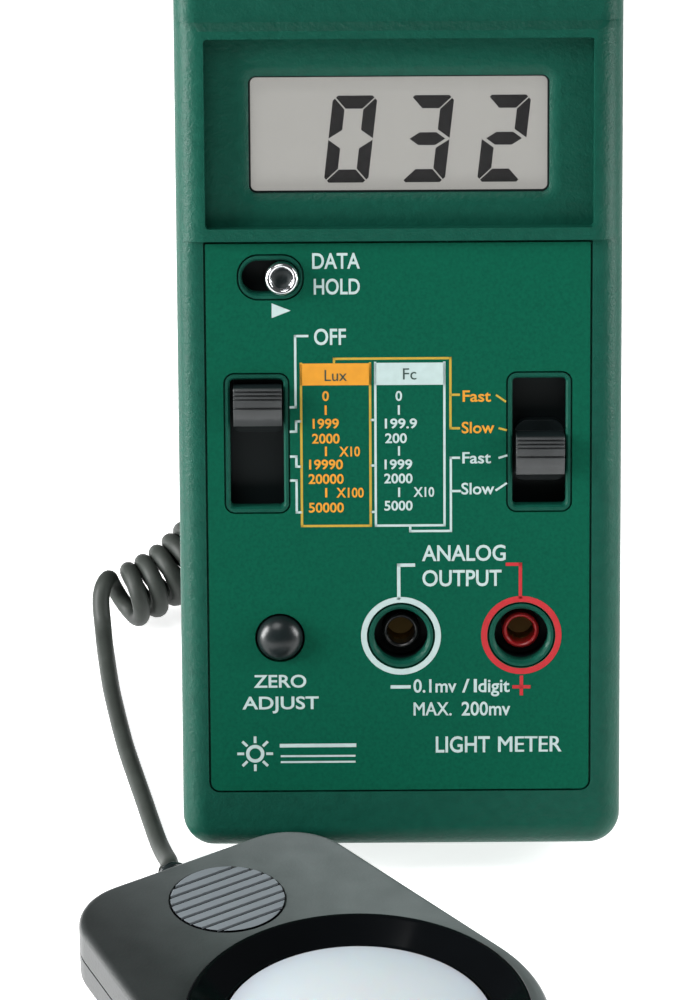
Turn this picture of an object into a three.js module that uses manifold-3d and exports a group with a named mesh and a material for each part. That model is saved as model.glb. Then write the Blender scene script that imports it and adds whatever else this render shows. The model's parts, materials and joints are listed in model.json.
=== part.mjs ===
// Hand-held light meter that leans back on its fold-out stand, with its light sensor on a curly cord in
// front of it. Millimetres, +Z up, the table is z = 0 and the origin is the middle of the footprint.
import * as THREE from "three";
import { mergeVertices } from "three/addons/utils/BufferGeometryUtils.js";
import Module from "manifold-3d";

const wasm = await Module();
wasm.setup();

// ---- Driving dimensions ----------------------------------------------------------------------------
const GAP = 0.3; // air between neighbouring pieces

// Meter case. Its own frame: x across, y into its depth from the front face, z from the bottom end up.
const CASE_WIDTH = 64.5;
const CASE_LENGTH = 188;
const CASE_DEPTH = 24.5;
const CASE_CORNER = 4.7;
const FRONT_ROUND = 3.5;
const BACK_ROUND = 1.5;
const WALL = 2.2;
const FRONT_WALL = 2.4;
const SPLIT_DEPTH = 12.35; // where the two shells meet
const LEAN = THREE.MathUtils.degToRad(17.3);

// Display: raised collar, recess, sloped frame and window.
const COLLAR = { low: 90.95, high: 122.5, rise: 0.9, slope: 1.2, round: 4.3 };
const RECESS = { halfWidth: 27.95, low: 92.75, high: 120.15, depth: 1.6 };
const LCD_VIEW = { halfWidth: 21.65, low: 97.4, high: 114.4, corner: 1.1 };
const LCD_SLOPE = 1.7;
const DISPLAY_FLOOR = 3.4; // inner side of the recess floor
const LCD_STACK = { glassHalf: 23.4, glassLow: 95.3, glassHigh: 116.7, border: 2 };

// Printed panel and its controls.
const PANEL = { left: -28.3, right: 27.8, low: 8.7, high: 90.8, recess: 0.9, thickness: 0.6 };
const PANEL_CORNER = { low: 1.6, high: 0.2 };
const PRINT_GAP = 0.25; // between the panel and each rim that stands in its cut-outs
const SLOT = { width: 7.8, length: 18.9, corner: 0.6, z: 61.15 };
const SLOT_RIM = { width: 9.1, length: 20.4, corner: 1.3 };
const RANGE_X = -20.8;
const UNIT_X = 20.15;
const KNOB = { width: 7, length: 5.8, proud: 2.1, shift: 0.15 };
const KNOB_BASE = { width: 7.3, length: 8.9, front: 2.7, back: 4.8 };
const SWITCH = { halfWidth: 5.2, halfLength: 12, wall: 1, channelBack: 5.6, back: 10.7 };
const RANGE_REST_Z = 66.8;
const UNIT_REST_Z = 59.4;
const HOLD = { x: -18.65, z: 85.6, length: 8.3, width: 4.9, rimLength: 9.2, rimWidth: 6.3 };
const HOLD_KNOB = { x: -17, radius: 2.45, stem: 2.1, proud: 1.7 };
const ZERO = { x: -17.7, z: 32.1, radius: 3.35, hole: 3.65, proud: 2.1 };
const JACKS = [
  { name: "jack_negative", x: 0, z: 32.3, color: 0x121212 },
  { name: "jack_positive", x: 17.6, z: 32.3, color: 0xb3121c },
];
const JACK = { hole: 3.93, rim: 4.7, tube: 2.7, bore: 1.95, front: 2.9, floor: 5.8, end: 10.7 };

// Inside.
const PCB = { halfWidth: 28.6, low: 14.5, high: 126, front: 11, back: 12.6 };
const BATTERY = { width: 26.5, depth: 17.3, bodyLength: 46.4, front: 3.1, low: 130.4 };
const DOOR = { inner: 14.5, outer: 13.6, low: 128, depth: 23.1 };
const LEDGE_DEPTH = 21.3;
const CASE_SCREWS = [
  [-26.6, 9],
  [26.6, 9],
  [-26.6, 172],
  [26.6, 172],
];

// Fold-out stand.
const STAND_AXIS = { depth: 22.6, z: 118 };
const STAND_OPEN = THREE.MathUtils.degToRad(23.5);
const STAND = { halfWidth: 20.5, thickness: 2.4, edge: 0.5, barrel: 1.5, bore: 1, pin: 0.7 };
const STAND_RECESS = { halfWidth: 21.5, low: 3.9, high: 120.2, depth: 20.8, wall: 19 };

// Where the case stands: its lower back edge rests on the table.
const CASE_LIFT =
  (CASE_DEPTH - BACK_ROUND) * Math.sin(LEAN) - BACK_ROUND * Math.cos(LEAN) + BACK_ROUND;
const CASE_PLACE = new THREE.Vector3(7.2, -1.7, CASE_LIFT);

// Sensor head. Its own frame: origin under the middle of the diffuser, x towards the round end.
const SENSOR_PLACE = new THREE.Vector3(0.5, -48.8, 0);
const SENSOR_TURN = THREE.MathUtils.degToRad(-57.6);
const HEAD = { round: 27, rear: 47.1, halfWidth: 22, rearCorner: 10, height: 10, split: 4.9 };
const HEAD_WALL = 1.8;
const RING = { lip: 24.4, lipTop: 11, collar: 23.3, funnelTop: 23.7, funnelLow: 19.7, seat: 8.2 };
const DOME = { radius: 19, base: 8.5, edge: 8.9, crown: 11.8 };
const THUMB = { x: -34.9, radius: 8.25, strips: 9, groove: 0.35 };
const HEAD_SCREWS = [
  [-37, -12.5],
  [-37, 12.5],
  [23.4, 0],
];
const CORD_HEIGHT = 5; // where the cord leaves the head

// Cord.
const CORD_RADIUS = 1.3;
const COIL_RADIUS = 4.75;
const GLAND_X = -21;
const GLAND_LENGTH = 9;

// ---- Materials -------------------------------------------------------------------------------------
function material(color, roughness, metalness = 0) {
  return new THREE.MeshStandardMaterial({ color, roughness, metalness });
}

const CASE_GREEN = material(0x0f5c46, 0.5);
const PANEL_GREEN = material(0x0a5f41, 0.6);
const BLACK = material(0x1c2022, 0.45);
const SOFT_BLACK = material(0x17191a, 0.75);
const GLOSS_BLACK = material(0x0a0b0d, 0.12);
const HEAD_GREY = material(0x2c302f, 0.55);
const STRIP_GREY = material(0x8f9499, 0.5);
const WHITE = material(0xdfe3e8, 0.4);
const LCD_GREY = material(0xb4b1a8, 0.4);
const CLEAR = material(0xe8eef0, 0.05);
const BOARD = material(0x1f6b3a, 0.5);
const STEEL = material(0xb9bdc1, 0.3, 1);
const BRASS = material(0xb08d3c, 0.35, 1);
const BATTERY_SKIN = material(0x3b4148, 0.4);
const FILTER_GREEN = material(0x6f8f5a, 0.1);
const CORD_BLACK = material(0x2b2e2c, 0.6);

// ---- Solids ----------------------------------------------------------------------------------------
function solid(geometry) {
  const bare = geometry.clone();
  bare.deleteAttribute("normal");
  bare.deleteAttribute("uv");
  const merged = mergeVertices(bare, 1e-4);
  return new wasm.Manifold(
    new wasm.Mesh({
      numProp: 3,
      vertProperties: new Float32Array(merged.attributes.position.array),
      triVerts: new Uint32Array(merged.index.array),
    })
  );
}

function surface(shape) {
  const mesh = shape.getMesh();
  const geometry = new THREE.BufferGeometry();
  geometry.setAttribute("position", new THREE.BufferAttribute(mesh.vertProperties, 3));
  geometry.setIndex(new THREE.BufferAttribute(mesh.triVerts, 1));
  geometry.computeVertexNormals();
  return geometry;
}

function joined(shapes) {
  return shapes.reduce((whole, shape) => whole.add(shape));
}

function piece(parent, name, shape, look) {
  const geometry = shape instanceof THREE.BufferGeometry ? shape : surface(shape);
  const mesh = new THREE.Mesh(geometry, look);
  mesh.name = name;
  parent.add(mesh);
  return mesh;
}

function block(x0, x1, y0, y1, z0, z1) {
  const geometry = new THREE.BoxGeometry(x1 - x0, y1 - y0, z1 - z0);
  geometry.translate((x0 + x1) / 2, (y0 + y1) / 2, (z0 + z1) / 2);
  return solid(geometry);
}

function roundedRect(x0, z0, x1, z1, low, high = low) {
  const shape = new THREE.Shape();
  shape.moveTo(x0 + low, z0);
  shape.lineTo(x1 - low, z0);
  shape.absarc(x1 - low, z0 + low, low, -Math.PI / 2, 0);
  shape.lineTo(x1, z1 - high);
  shape.absarc(x1 - high, z1 - high, high, 0, Math.PI / 2);
  shape.lineTo(x0 + high, z1);
  shape.absarc(x0 + high, z1 - high, high, Math.PI / 2, Math.PI);
  shape.lineTo(x0, z0 + low);
  shape.absarc(x0 + low, z0 + low, low, Math.PI, 1.5 * Math.PI);
  return shape;
}

// A flat outline in x and z, thickened from depth y0 to depth y1. A bevel rounds both of its rims.
function slab(shape, y0, y1, bevel = {}) {
  const thickness = bevel.thickness ?? 0;
  const geometry = new THREE.ExtrudeGeometry(shape, {
    depth: y1 - y0 - 2 * thickness,
    bevelEnabled: thickness > 0,
    bevelThickness: thickness,
    bevelSize: bevel.size ?? thickness,
    bevelOffset: bevel.outward ? 0 : -(bevel.size ?? thickness),
    bevelSegments: bevel.segments ?? 2,
    curveSegments: bevel.curve ?? 3,
  });
  geometry.rotateX(Math.PI / 2);
  geometry.translate(0, y1 - thickness, 0);
  return solid(geometry);
}

function rod(x, z, radius, y0, y1, sides = 14) {
  const geometry = new THREE.CylinderGeometry(radius, radius, y1 - y0, sides);
  geometry.translate(x, (y0 + y1) / 2, z);
  return solid(geometry);
}

// A turned piece about the depth axis, from [radius, depth] points.
function turned(points, x, z, sides = 16) {
  const profile = points.map(([radius, depth]) => new THREE.Vector2(radius, depth));
  const geometry = new THREE.LatheGeometry(profile, sides);
  geometry.translate(x, 0, z);
  return solid(geometry);
}

function slotRect(x, z, width, length, low, high = low) {
  return roundedRect(x - width / 2, z - length / 2, x + width / 2, z + length / 2, low, high);
}

// ---- Case ------------------------------------------------------------------------------------------
function caseOutline(inset) {
  const half = CASE_WIDTH / 2 - inset;
  return roundedRect(-half, inset, half, CASE_LENGTH - inset, CASE_CORNER - inset);
}

function bodyShell(rounding, segments, y0, y1) {
  const outside = slab(caseOutline(0), 0, CASE_DEPTH, { thickness: rounding, segments });
  return outside.intersect(block(-50, 50, y0, y1, -10, CASE_LENGTH + 10));
}

function slotCuts(y0, y1) {
  const cuts = [RANGE_X, UNIT_X].map((x) =>
    slab(slotRect(x, SLOT.z, SLOT.width, SLOT.length, SLOT.corner), y0, y1, { curve: 2 })
  );
  cuts.push(slab(slotRect(HOLD.x, HOLD.z, HOLD.length, HOLD.width, HOLD.width / 2 - 0.02), y0, y1));
  cuts.push(rod(ZERO.x, ZERO.z, ZERO.hole, y0, y1, 20));
  JACKS.forEach((jack) => cuts.push(rod(jack.x, jack.z, JACK.hole, y0, y1, 20)));
  return joined(cuts);
}

// The shell stands up to the panel's level around each slot and jack, inside a cut-out of the panel.
function rims(extra, y0, y1) {
  const grow = 2 * extra;
  const shapes = [RANGE_X, UNIT_X].map((x) =>
    slotRect(x, SLOT.z, SLOT_RIM.width + grow, SLOT_RIM.length + grow, SLOT_RIM.corner + extra)
  );
  const holdRound = HOLD.rimWidth / 2 - 0.3 + extra;
  shapes.push(slotRect(HOLD.x, HOLD.z, HOLD.rimLength + grow, HOLD.rimWidth + grow, holdRound));
  const solids = shapes.map((shape) => slab(shape, y0, y1));
  JACKS.forEach((jack) => solids.push(rod(jack.x, jack.z, JACK.rim + extra, y0, y1, 20)));
  return joined(solids);
}

// A cross-section of the case's front, seen from its top end, with both front edges rounded.
function frontSection(half, front, round, z) {
  const corner = (sign, start) =>
    [0, 1, 2, 3].map((i) => {
      const angle = start + (i / 3) * (Math.PI / 2);
      return new THREE.Vector3(
        sign * (half - round) + round * Math.cos(angle), front + round + round * Math.sin(angle), z
      );
    });
  return [
    ...corner(-1, Math.PI), ...corner(1, 1.5 * Math.PI),
    new THREE.Vector3(half, DISPLAY_FLOOR, z), new THREE.Vector3(-half, DISPLAY_FLOOR, z),
  ];
}

// A solid through convex rings of equally many points, each ring above the last.
function loft(rings) {
  const count = rings[0].length;
  const last = (rings.length - 1) * count;
  const index = [];
  for (let first = 0; first < last; first += count) {
    for (let i = 0; i < count; i += 1) {
      const a = first + i;
      const b = first + ((i + 1) % count);
      index.push(a, b, b + count, a, b + count, a + count);
    }
  }
  for (let i = 1; i < count - 1; i += 1) {
    index.push(0, i + 1, i, last, last + i, last + i + 1);
  }
  const geometry = new THREE.BufferGeometry().setFromPoints(rings.flat());
  geometry.setIndex(index);
  return solid(geometry);
}

// The raised collar about the display wraps over the case's side edges and slopes down at its top.
function displayCollar() {
  const half = CASE_WIDTH / 2;
  const raised = (z) => frontSection(half, -COLLAR.rise, COLLAR.round, z);
  const flush = frontSection(half - 0.05, 0, DISPLAY_FLOOR - 0.01, COLLAR.high);
  return loft([raised(COLLAR.low), raised(COLLAR.high - COLLAR.slope), flush]);
}

function displayOpening() {
  const view = LCD_VIEW;
  const window = () =>
    roundedRect(-view.halfWidth, view.low, view.halfWidth, view.high, view.corner);
  const recess = roundedRect(
    -RECESS.halfWidth, RECESS.low, RECESS.halfWidth, RECESS.high, 0.5
  );
  const slope = { thickness: 1, size: LCD_SLOPE, segments: 1, outward: true };
  return joined([
    slab(recess, -3, RECESS.depth, { curve: 2 }),
    slab(window(), 0.2, RECESS.depth + slope.thickness, slope),
    slab(window(), 0, DISPLAY_FLOOR + 2),
  ]);
}

function frontShell() {
  const half = CASE_WIDTH / 2 - WALL;
  const cavity = slab(
    roundedRect(-half, WALL, half, CASE_LENGTH - WALL, CASE_CORNER - WALL),
    FRONT_WALL, SPLIT_DEPTH + 1
  );
  const bosses = CASE_SCREWS.map(([x, z]) => rod(x, z, 3, FRONT_WALL - 0.4, SPLIT_DEPTH - GAP / 2));
  const bores = CASE_SCREWS.map(([x, z]) => rod(x, z, 1.3, 4.4, SPLIT_DEPTH + 1, 12));
  const panelRecess = slab(
    roundedRect(
      PANEL.left, PANEL.low, PANEL.right, PANEL.high, PANEL_CORNER.low, PANEL_CORNER.high
    ),
    -3, PANEL.recess
  ).subtract(rims(0, -4, PANEL.recess + 1));
  const glandHole = endHole(3.3);
  return bodyShell(FRONT_ROUND, 3, 0, SPLIT_DEPTH - GAP / 2)
    .subtract(cavity)
    .add(displayCollar())
    .subtract(displayOpening())
    .subtract(panelRecess)
    .subtract(slotCuts(-3, FRONT_WALL + 1))
    .add(joined(bosses))
    .subtract(joined(bores))
    .subtract(glandHole);
}

// The hole in the case's top end that the cord gland sits in.
function endHole(radius) {
  const geometry = new THREE.CylinderGeometry(radius, radius, 12, 24);
  geometry.rotateX(Math.PI / 2);
  geometry.translate(GLAND_X, SPLIT_DEPTH, CASE_LENGTH);
  return solid(geometry);
}

function doorProfile(extra, low) {
  // Dovetail section in x and depth, run along the case.
  const shape = new THREE.Shape();
  const inner = DOOR.inner + extra;
  const outer = DOOR.outer + extra;
  shape.moveTo(-inner, DOOR.depth - extra);
  shape.lineTo(inner, DOOR.depth - extra);
  shape.lineTo(outer, CASE_DEPTH + extra * 4);
  shape.lineTo(-outer, CASE_DEPTH + extra * 4);
  const high = CASE_LENGTH - BACK_ROUND + extra * 20;
  const geometry = new THREE.ExtrudeGeometry(shape, {
    depth: high - low + extra,
    bevelEnabled: false,
  });
  geometry.translate(0, 0, low - extra);
  return solid(geometry);
}

function standBore(radius, reach, sides) {
  const geometry = new THREE.CylinderGeometry(radius, radius, 2 * reach, sides);
  geometry.rotateZ(Math.PI / 2);
  return geometry;
}

function rearShell() {
  const half = CASE_WIDTH / 2 - WALL;
  const cavity = slab(
    roundedRect(-half, WALL, half, CASE_LENGTH - WALL, CASE_CORNER - WALL),
    SPLIT_DEPTH - 1, CASE_DEPTH - WALL
  );
  const recess = STAND_RECESS;
  const tray = block(
    -recess.halfWidth - WALL, recess.halfWidth + WALL, recess.wall, CASE_DEPTH - 1,
    recess.low - 2, recess.high + 2
  );
  const ledge = block(-18, 18, LEDGE_DEPTH, CASE_DEPTH - 1, 126, CASE_LENGTH - 1);
  const battery = [
    block(-16, 16, SPLIT_DEPTH + 0.5, CASE_DEPTH - 1, 127.4, 128.9),
    block(-15.6, -14.2, SPLIT_DEPTH + 0.5, CASE_DEPTH - 1, 128, 176),
    block(14.2, 15.6, SPLIT_DEPTH + 0.5, CASE_DEPTH - 1, 128, 176),
  ];
  const bosses = CASE_SCREWS.map(([x, z]) => rod(x, z, 3, SPLIT_DEPTH + GAP / 2, CASE_DEPTH - 1));
  const bores = CASE_SCREWS.map(([x, z]) =>
    rod(x, z, 1.3, SPLIT_DEPTH - 1, CASE_DEPTH, 12).add(rod(x, z, 2.6, 21, CASE_DEPTH + 1, 16))
  );
  const pinHole = standBore(STAND.bore, recess.halfWidth + 1.9, 16);
  pinHole.translate(0, STAND_AXIS.depth, STAND_AXIS.z);
  const thumbNotch = rod(recess.halfWidth + 1, 30, 6, 22.4, CASE_DEPTH + 1, 24);
  return bodyShell(BACK_ROUND, 2, SPLIT_DEPTH + GAP / 2, CASE_DEPTH)
    .subtract(cavity)
    .add(tray)
    .add(ledge)
    .add(joined(battery))
    .add(joined(bosses))
    .subtract(joined(bores))
    .subtract(block(
      -recess.halfWidth, recess.halfWidth, recess.depth, CASE_DEPTH + 1, recess.low, recess.high
    ))
    .subtract(solid(pinHole))
    .subtract(thumbNotch)
    .subtract(doorProfile(GAP, DOOR.low))
    .subtract(block(-13.8, 13.8, LEDGE_DEPTH - 1, CASE_DEPTH, 130, 181))
    .subtract(endHole(3.3));
}

function frontPanel() {
  const inset = GAP;
  const outline = roundedRect(
    PANEL.left + inset, PANEL.low + inset, PANEL.right - inset, PANEL.high - inset,
    PANEL_CORNER.low - inset, PANEL_CORNER.high
  );
  return slab(outline, 0, PANEL.thickness)
    .subtract(rims(PRINT_GAP, -1, PANEL.thickness + 1))
    .subtract(rod(ZERO.x, ZERO.z, ZERO.hole, -1, PANEL.thickness + 1, 20));
}

function batteryDoor() {
  const ridges = [];
  for (let i = 0; i < 5; i += 1) {
    const z = 166 + i * 2.4;
    ridges.push(block(-6, 6, CASE_DEPTH - 0.5, CASE_DEPTH + 1, z, z + 1.1));
  }
  return doorProfile(0, DOOR.low)
    .intersect(block(-30, 30, 0, CASE_DEPTH, 0, CASE_LENGTH - BACK_ROUND))
    .subtract(joined(ridges));
}

function caseScrew(x, z) {
  const head = turned(
    [[0, 8], [0.5, 8.8], [1, 9.8], [1, 21.3], [2.3, 21.3], [2.3, 22.3], [1.7, 22.9], [0, 22.9]],
    x, z, 10
  );
  const slotA = block(x - 1.3, x + 1.3, 22, 24, z - 0.25, z + 0.25);
  const slotB = block(x - 0.25, x + 0.25, 22, 24, z - 1.3, z + 1.3);
  return head.subtract(slotA.add(slotB));
}

function cordGland() {
  const profile = [
    [1.6, -3.5], [4.6, -3.5], [4.6, -2.5], [3, -2.5], [3, 0.3], [4.4, 0.3], [4.4, 1.8], [3.4, 2.4],
    [2.3, GLAND_LENGTH], [1.6, GLAND_LENGTH], [1.6, -3.5],
  ].map(([radius, height]) => new THREE.Vector2(radius, height));
  const geometry = new THREE.LatheGeometry(profile, 14);
  geometry.rotateX(Math.PI / 2);
  geometry.translate(GLAND_X, SPLIT_DEPTH, CASE_LENGTH);
  return solid(geometry);
}

function addCase(meter) {
  piece(meter, "front_shell", frontShell(), CASE_GREEN);
  piece(meter, "rear_shell", rearShell(), CASE_GREEN);
  piece(meter, "front_panel", frontPanel(), PANEL_GREEN);
  piece(meter, "battery_door", batteryDoor(), CASE_GREEN);
  piece(meter, "cord_gland", cordGland(), SOFT_BLACK);
  CASE_SCREWS.forEach(([x, z], i) => piece(meter, `case_screw_${i + 1}`, caseScrew(x, z), STEEL));
}

// ---- Display stack and electronics -----------------------------------------------------------------
function addDisplay(meter) {
  const front = DISPLAY_FLOOR + GAP;
  const board = PCB.front - GAP;
  const { glassHalf, glassLow, glassHigh, border } = LCD_STACK;
  const window = roundedRect(-glassHalf, glassLow + 0.4, glassHalf, glassHigh - 0.5, 0.5);
  piece(meter, "lcd_window", slab(window, front, front + 1, { curve: 2 }), CLEAR);
  const glass = roundedRect(-glassHalf, glassLow, glassHalf, glassHigh, 0.3);
  piece(meter, "lcd_glass", slab(glass, front + 1 + GAP, front + 3.5), LCD_GREY);
  const inner = glassHalf + GAP + 0.1;
  const frame = block(
    -inner - border, inner + border, front, board, glassLow - GAP - border, glassHigh + GAP + border
  ).subtract(block(-inner, inner, 3, 11, glassLow - GAP - 0.1, glassHigh + GAP + 0.1));
  piece(meter, "lcd_holder", frame, WHITE);
  const strip = (z) => block(-21, 21, front + 3.5 + GAP, board, z - 0.9, z + 0.9);
  piece(meter, "zebra_strip_lower", strip(glassLow + 1.7), SOFT_BLACK);
  piece(meter, "zebra_strip_upper", strip(glassHigh - 1.7), SOFT_BLACK);
}

function addElectronics(meter) {
  const board = slab(
    roundedRect(-PCB.halfWidth, PCB.low, PCB.halfWidth, PCB.high, 1), PCB.front, PCB.back,
    { curve: 2 }
  );
  piece(meter, "main_pcb", board, BOARD);
  const chipBack = PCB.back + GAP + 2.2;
  piece(meter, "adc_chip", block(-7, 7, PCB.back + GAP, chipBack, 97, 111), BLACK);
  piece(meter, "opamp_chip", block(-17, -7.4, PCB.back + GAP, chipBack + 1, 66, 72.4), BLACK);
  const capacitor = rod(12, 72, 2.5, PCB.back + GAP, PCB.back + GAP + 5, 16);
  piece(meter, "filter_capacitor", capacitor, BLACK);
  const b = BATTERY;
  const half = b.width / 2;
  const high = b.low + b.bodyLength;
  const can = slab(roundedRect(-half, b.low, half, high, 2.5), b.front, b.front + b.depth, {
    thickness: 2,
    segments: 2,
    curve: 2,
  });
  const middle = b.front + b.depth / 2;
  const studs = [-6.35, 6.35].map((x, i) => {
    const radius = 2.9 + 0.7 * i;
    const stud = new THREE.CylinderGeometry(radius, radius, 3.6, 16);
    stud.rotateX(Math.PI / 2);
    stud.translate(x, middle, high + 0.8);
    return solid(stud);
  });
  piece(meter, "battery", can.add(joined(studs)), BATTERY_SKIN);
  const snap = slab(roundedRect(-12.6, high + 2.9, 12.6, high + 6.4, 1), middle - 6, middle + 6);
  piece(meter, "battery_snap", snap, SOFT_BLACK);
}

// ---- Controls --------------------------------------------------------------------------------------
function slideSwitchBody(x) {
  const { halfWidth, halfLength, wall, channelBack, back } = SWITCH;
  const channelWidth = halfWidth - wall;
  const channelLength = halfLength - wall;
  const outer = block(
    x - halfWidth, x + halfWidth, FRONT_WALL + GAP, back, SLOT.z - halfLength, SLOT.z + halfLength
  );
  const channel = block(
    x - channelWidth, x + channelWidth, 2, channelBack, SLOT.z - channelLength, SLOT.z + channelLength
  );
  return outer.subtract(channel);
}

// A slide knob: a flat base behind the slot and a grip whose face has fine ribs and a groove.
function slideKnob(slotX, z) {
  const x = slotX + KNOB.shift;
  const base = slab(
    slotRect(x, z, KNOB_BASE.width, KNOB_BASE.length, 1.2, 1.9), KNOB_BASE.front, KNOB_BASE.back,
    { curve: 3 }
  );
  const half = KNOB.length / 2;
  const front = -KNOB.proud;
  const side = new THREE.Shape();
  // Outline of the grip in depth and height: a lower half that falls away, a groove, then three ribs.
  const points = [[3, -half], [front + 1.2, -half], [front + 0.95, -half + 0.4]];
  points.push([front + 0.4, -1.4], [front + 0.3, -0.3], [front + 0.65, -0.2], [front + 0.65, -0.02]);
  points.push([front + 0.15, 0.08], [front + 0.1, 1.05]);
  for (let rib = 0; rib < 3; rib += 1) {
    const low = 1.15 + rib * 0.57;
    points.push([front + 0.4, low], [front + 0.4, low + 0.12]);
    points.push([front, low + 0.22], [front, low + 0.47]);
  }
  points.push([front + 0.3, half], [3, half]);
  side.setFromPoints(points.map(([depth, height]) => new THREE.Vector2(depth, height)));
  const geometry = new THREE.ExtrudeGeometry(side, { depth: KNOB.width, bevelEnabled: false });
  // The outline's first axis becomes depth, its second height, and its thickness runs across.
  const turn = new THREE.Matrix4().set(
    0, 0, 1, x - KNOB.width / 2,
    1, 0, 0, 0,
    0, 1, 0, z,
    0, 0, 0, 1
  );
  geometry.applyMatrix4(turn);
  return base.add(solid(geometry));
}

function holdKnob() {
  const r = HOLD_KNOB.radius;
  const stem = HOLD_KNOB.stem;
  const top = -HOLD_KNOB.proud;
  return turned(
    [
      [0, top + 0.9], [0.8, top + 0.8], [1.4, top + 0.45], [1.75, top + 0.05], [2.05, top],
      [r, top + 0.35], [r, -0.35], [stem, -0.35], [stem, 2.2], [1.4, 2.6], [1.4, 4.2], [0, 4.2],
    ],
    HOLD_KNOB.x, HOLD.z, 20
  );
}

function zeroKnob() {
  const r = ZERO.radius;
  const top = -ZERO.proud;
  const points = [[0, top]];
  for (let i = 1; i <= 5; i += 1) {
    const angle = (i / 5) * (Math.PI / 2) * 0.86;
    points.push([r * Math.sin(angle) * 1.02, top + (1 - Math.cos(angle)) * 2.3]);
  }
  points.push([r, 3.2], [2, 3.6], [2, 5.6], [0, 5.6]);
  return turned(points, ZERO.x, ZERO.z, 20);
}

function addJack(meter, jack) {
  const j = JACK;
  const cup = j.hole + 0.17;
  const insulator = turned(
    [
      [j.bore + 0.1, j.front + 0.2], [j.tube - 0.15, j.front], [j.tube, j.front + 0.2],
      [j.tube, j.floor], [cup, j.floor], [cup, 2.7], [cup + 0.9, 2.7], [cup + 0.9, j.end],
      [3, j.end], [3, j.floor + 0.6], [j.bore, j.floor + 0.6], [j.bore, j.front + 0.6],
      [j.bore + 0.1, j.front + 0.2],
    ],
    jack.x, jack.z
  );
  piece(meter, `${jack.name}_insulator`, insulator, material(jack.color, 0.35));
  const contact = turned(
    [[2.05, 6.8], [2.6, 6.8], [2.6, j.end], [0, j.end], [0, 9.9], [2.05, 9.9], [2.05, 6.8]],
    jack.x, jack.z
  );
  piece(meter, `${jack.name}_contact`, contact, BRASS);
}

function addControls(meter) {
  piece(meter, "range_switch_body", slideSwitchBody(RANGE_X), BLACK);
  piece(meter, "range_switch_knob", slideKnob(RANGE_X, RANGE_REST_Z), BLACK);
  piece(meter, "unit_switch_body", slideSwitchBody(UNIT_X), BLACK);
  piece(meter, "unit_switch_knob", slideKnob(UNIT_X, UNIT_REST_Z), BLACK);
  const holdBody = block(
    HOLD.x - 5.8, HOLD.x + 5.8, FRONT_WALL + GAP, 9, HOLD.z - 3.6, HOLD.z + 3.6
  ).subtract(block(HOLD.x - 4.9, HOLD.x + 4.9, 2, 5, HOLD.z - 2.75, HOLD.z + 2.75));
  piece(meter, "hold_switch_body", holdBody, BLACK);
  piece(meter, "hold_switch_knob", holdKnob(), STEEL);
  const pot = block(ZERO.x - 4.8, ZERO.x + 4.8, 5.9, 10.7, ZERO.z - 4.8, ZERO.z + 4.8);
  piece(meter, "zero_pot_body", pot, BLACK);
  piece(meter, "zero_knob", zeroKnob(), SOFT_BLACK);
  JACKS.forEach((jack) => addJack(meter, jack));
}

// ---- Stand -----------------------------------------------------------------------------------------
function addStand(meter) {
  const hinge = new THREE.Group();
  hinge.position.set(0, STAND_AXIS.depth, STAND_AXIS.z);
  hinge.rotation.x = STAND_OPEN;
  meter.add(hinge);
  // The leg's length makes its foot meet the table when the stand is open.
  const axisHeight =
    STAND_AXIS.z * Math.cos(LEAN) - STAND_AXIS.depth * Math.sin(LEAN) + CASE_LIFT;
  const slant = STAND_OPEN - LEAN;
  const footHalf = STAND.thickness / 2 - STAND.edge;
  const length = (axisHeight - footHalf * Math.sin(slant)) / Math.cos(slant);
  const half = STAND.halfWidth;
  const plate = slab(
    roundedRect(-half, -length, half, 0, 6, 0.6), -STAND.thickness / 2, STAND.thickness / 2,
    { thickness: STAND.edge, segments: 1 }
  );
  const opening = slab(roundedRect(-7.5, -length + 22, 7.5, -24, 5), -3, 3);
  const barrel = solid(standBore(STAND.barrel, half, 20));
  const leg = plate
    .subtract(opening)
    .add(barrel)
    .subtract(solid(standBore(STAND.bore, half + 2, 16)));
  piece(hinge, "tilt_stand", leg, CASE_GREEN);
  piece(hinge, "stand_pin", standBore(STAND.pin, STAND_RECESS.halfWidth + 1.6, 12), STEEL);
}

// ---- Sensor head -----------------------------------------------------------------------------------
// Plan outline: a large round end and two rounded rear corners, joined by straight tangents.
function headOutline(inset) {
  const front = HEAD.round - inset;
  const corner = HEAD.rearCorner - inset;
  const cx = -(HEAD.rear - HEAD.rearCorner);
  const cy = HEAD.halfWidth - HEAD.rearCorner;
  const centreAngle = Math.atan2(cy, cx);
  const tangent = centreAngle - Math.acos((front - corner) / Math.hypot(cx, cy));
  const shape = new THREE.Shape();
  shape.absarc(0, 0, front, -tangent, tangent);
  shape.absarc(cx, cy, corner, tangent, Math.PI);
  shape.absarc(cx, -cy, corner, Math.PI, 2 * Math.PI - tangent);
  return shape;
}

function headSlab(inset, z0, z1, bevel = 0, segments = 2) {
  const geometry = new THREE.ExtrudeGeometry(headOutline(inset), {
    depth: z1 - z0 - 2 * bevel,
    bevelEnabled: bevel > 0,
    bevelThickness: bevel,
    bevelSize: bevel,
    bevelOffset: -bevel,
    bevelSegments: segments,
    curveSegments: 12,
  });
  geometry.translate(0, 0, z0 + bevel);
  return solid(geometry);
}

function post(x, y, radius, z0, z1, sides = 16) {
  const geometry = new THREE.CylinderGeometry(radius, radius, z1 - z0, sides);
  geometry.rotateX(Math.PI / 2);
  geometry.translate(x, y, (z0 + z1) / 2);
  return solid(geometry);
}

// A turned piece about the vertical, from [radius, height] points.
function upright(points, sides = 36) {
  const profile = points.map(([radius, height]) => new THREE.Vector2(radius, height));
  const geometry = new THREE.LatheGeometry(profile, sides);
  geometry.rotateX(Math.PI / 2);
  return geometry;
}

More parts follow.
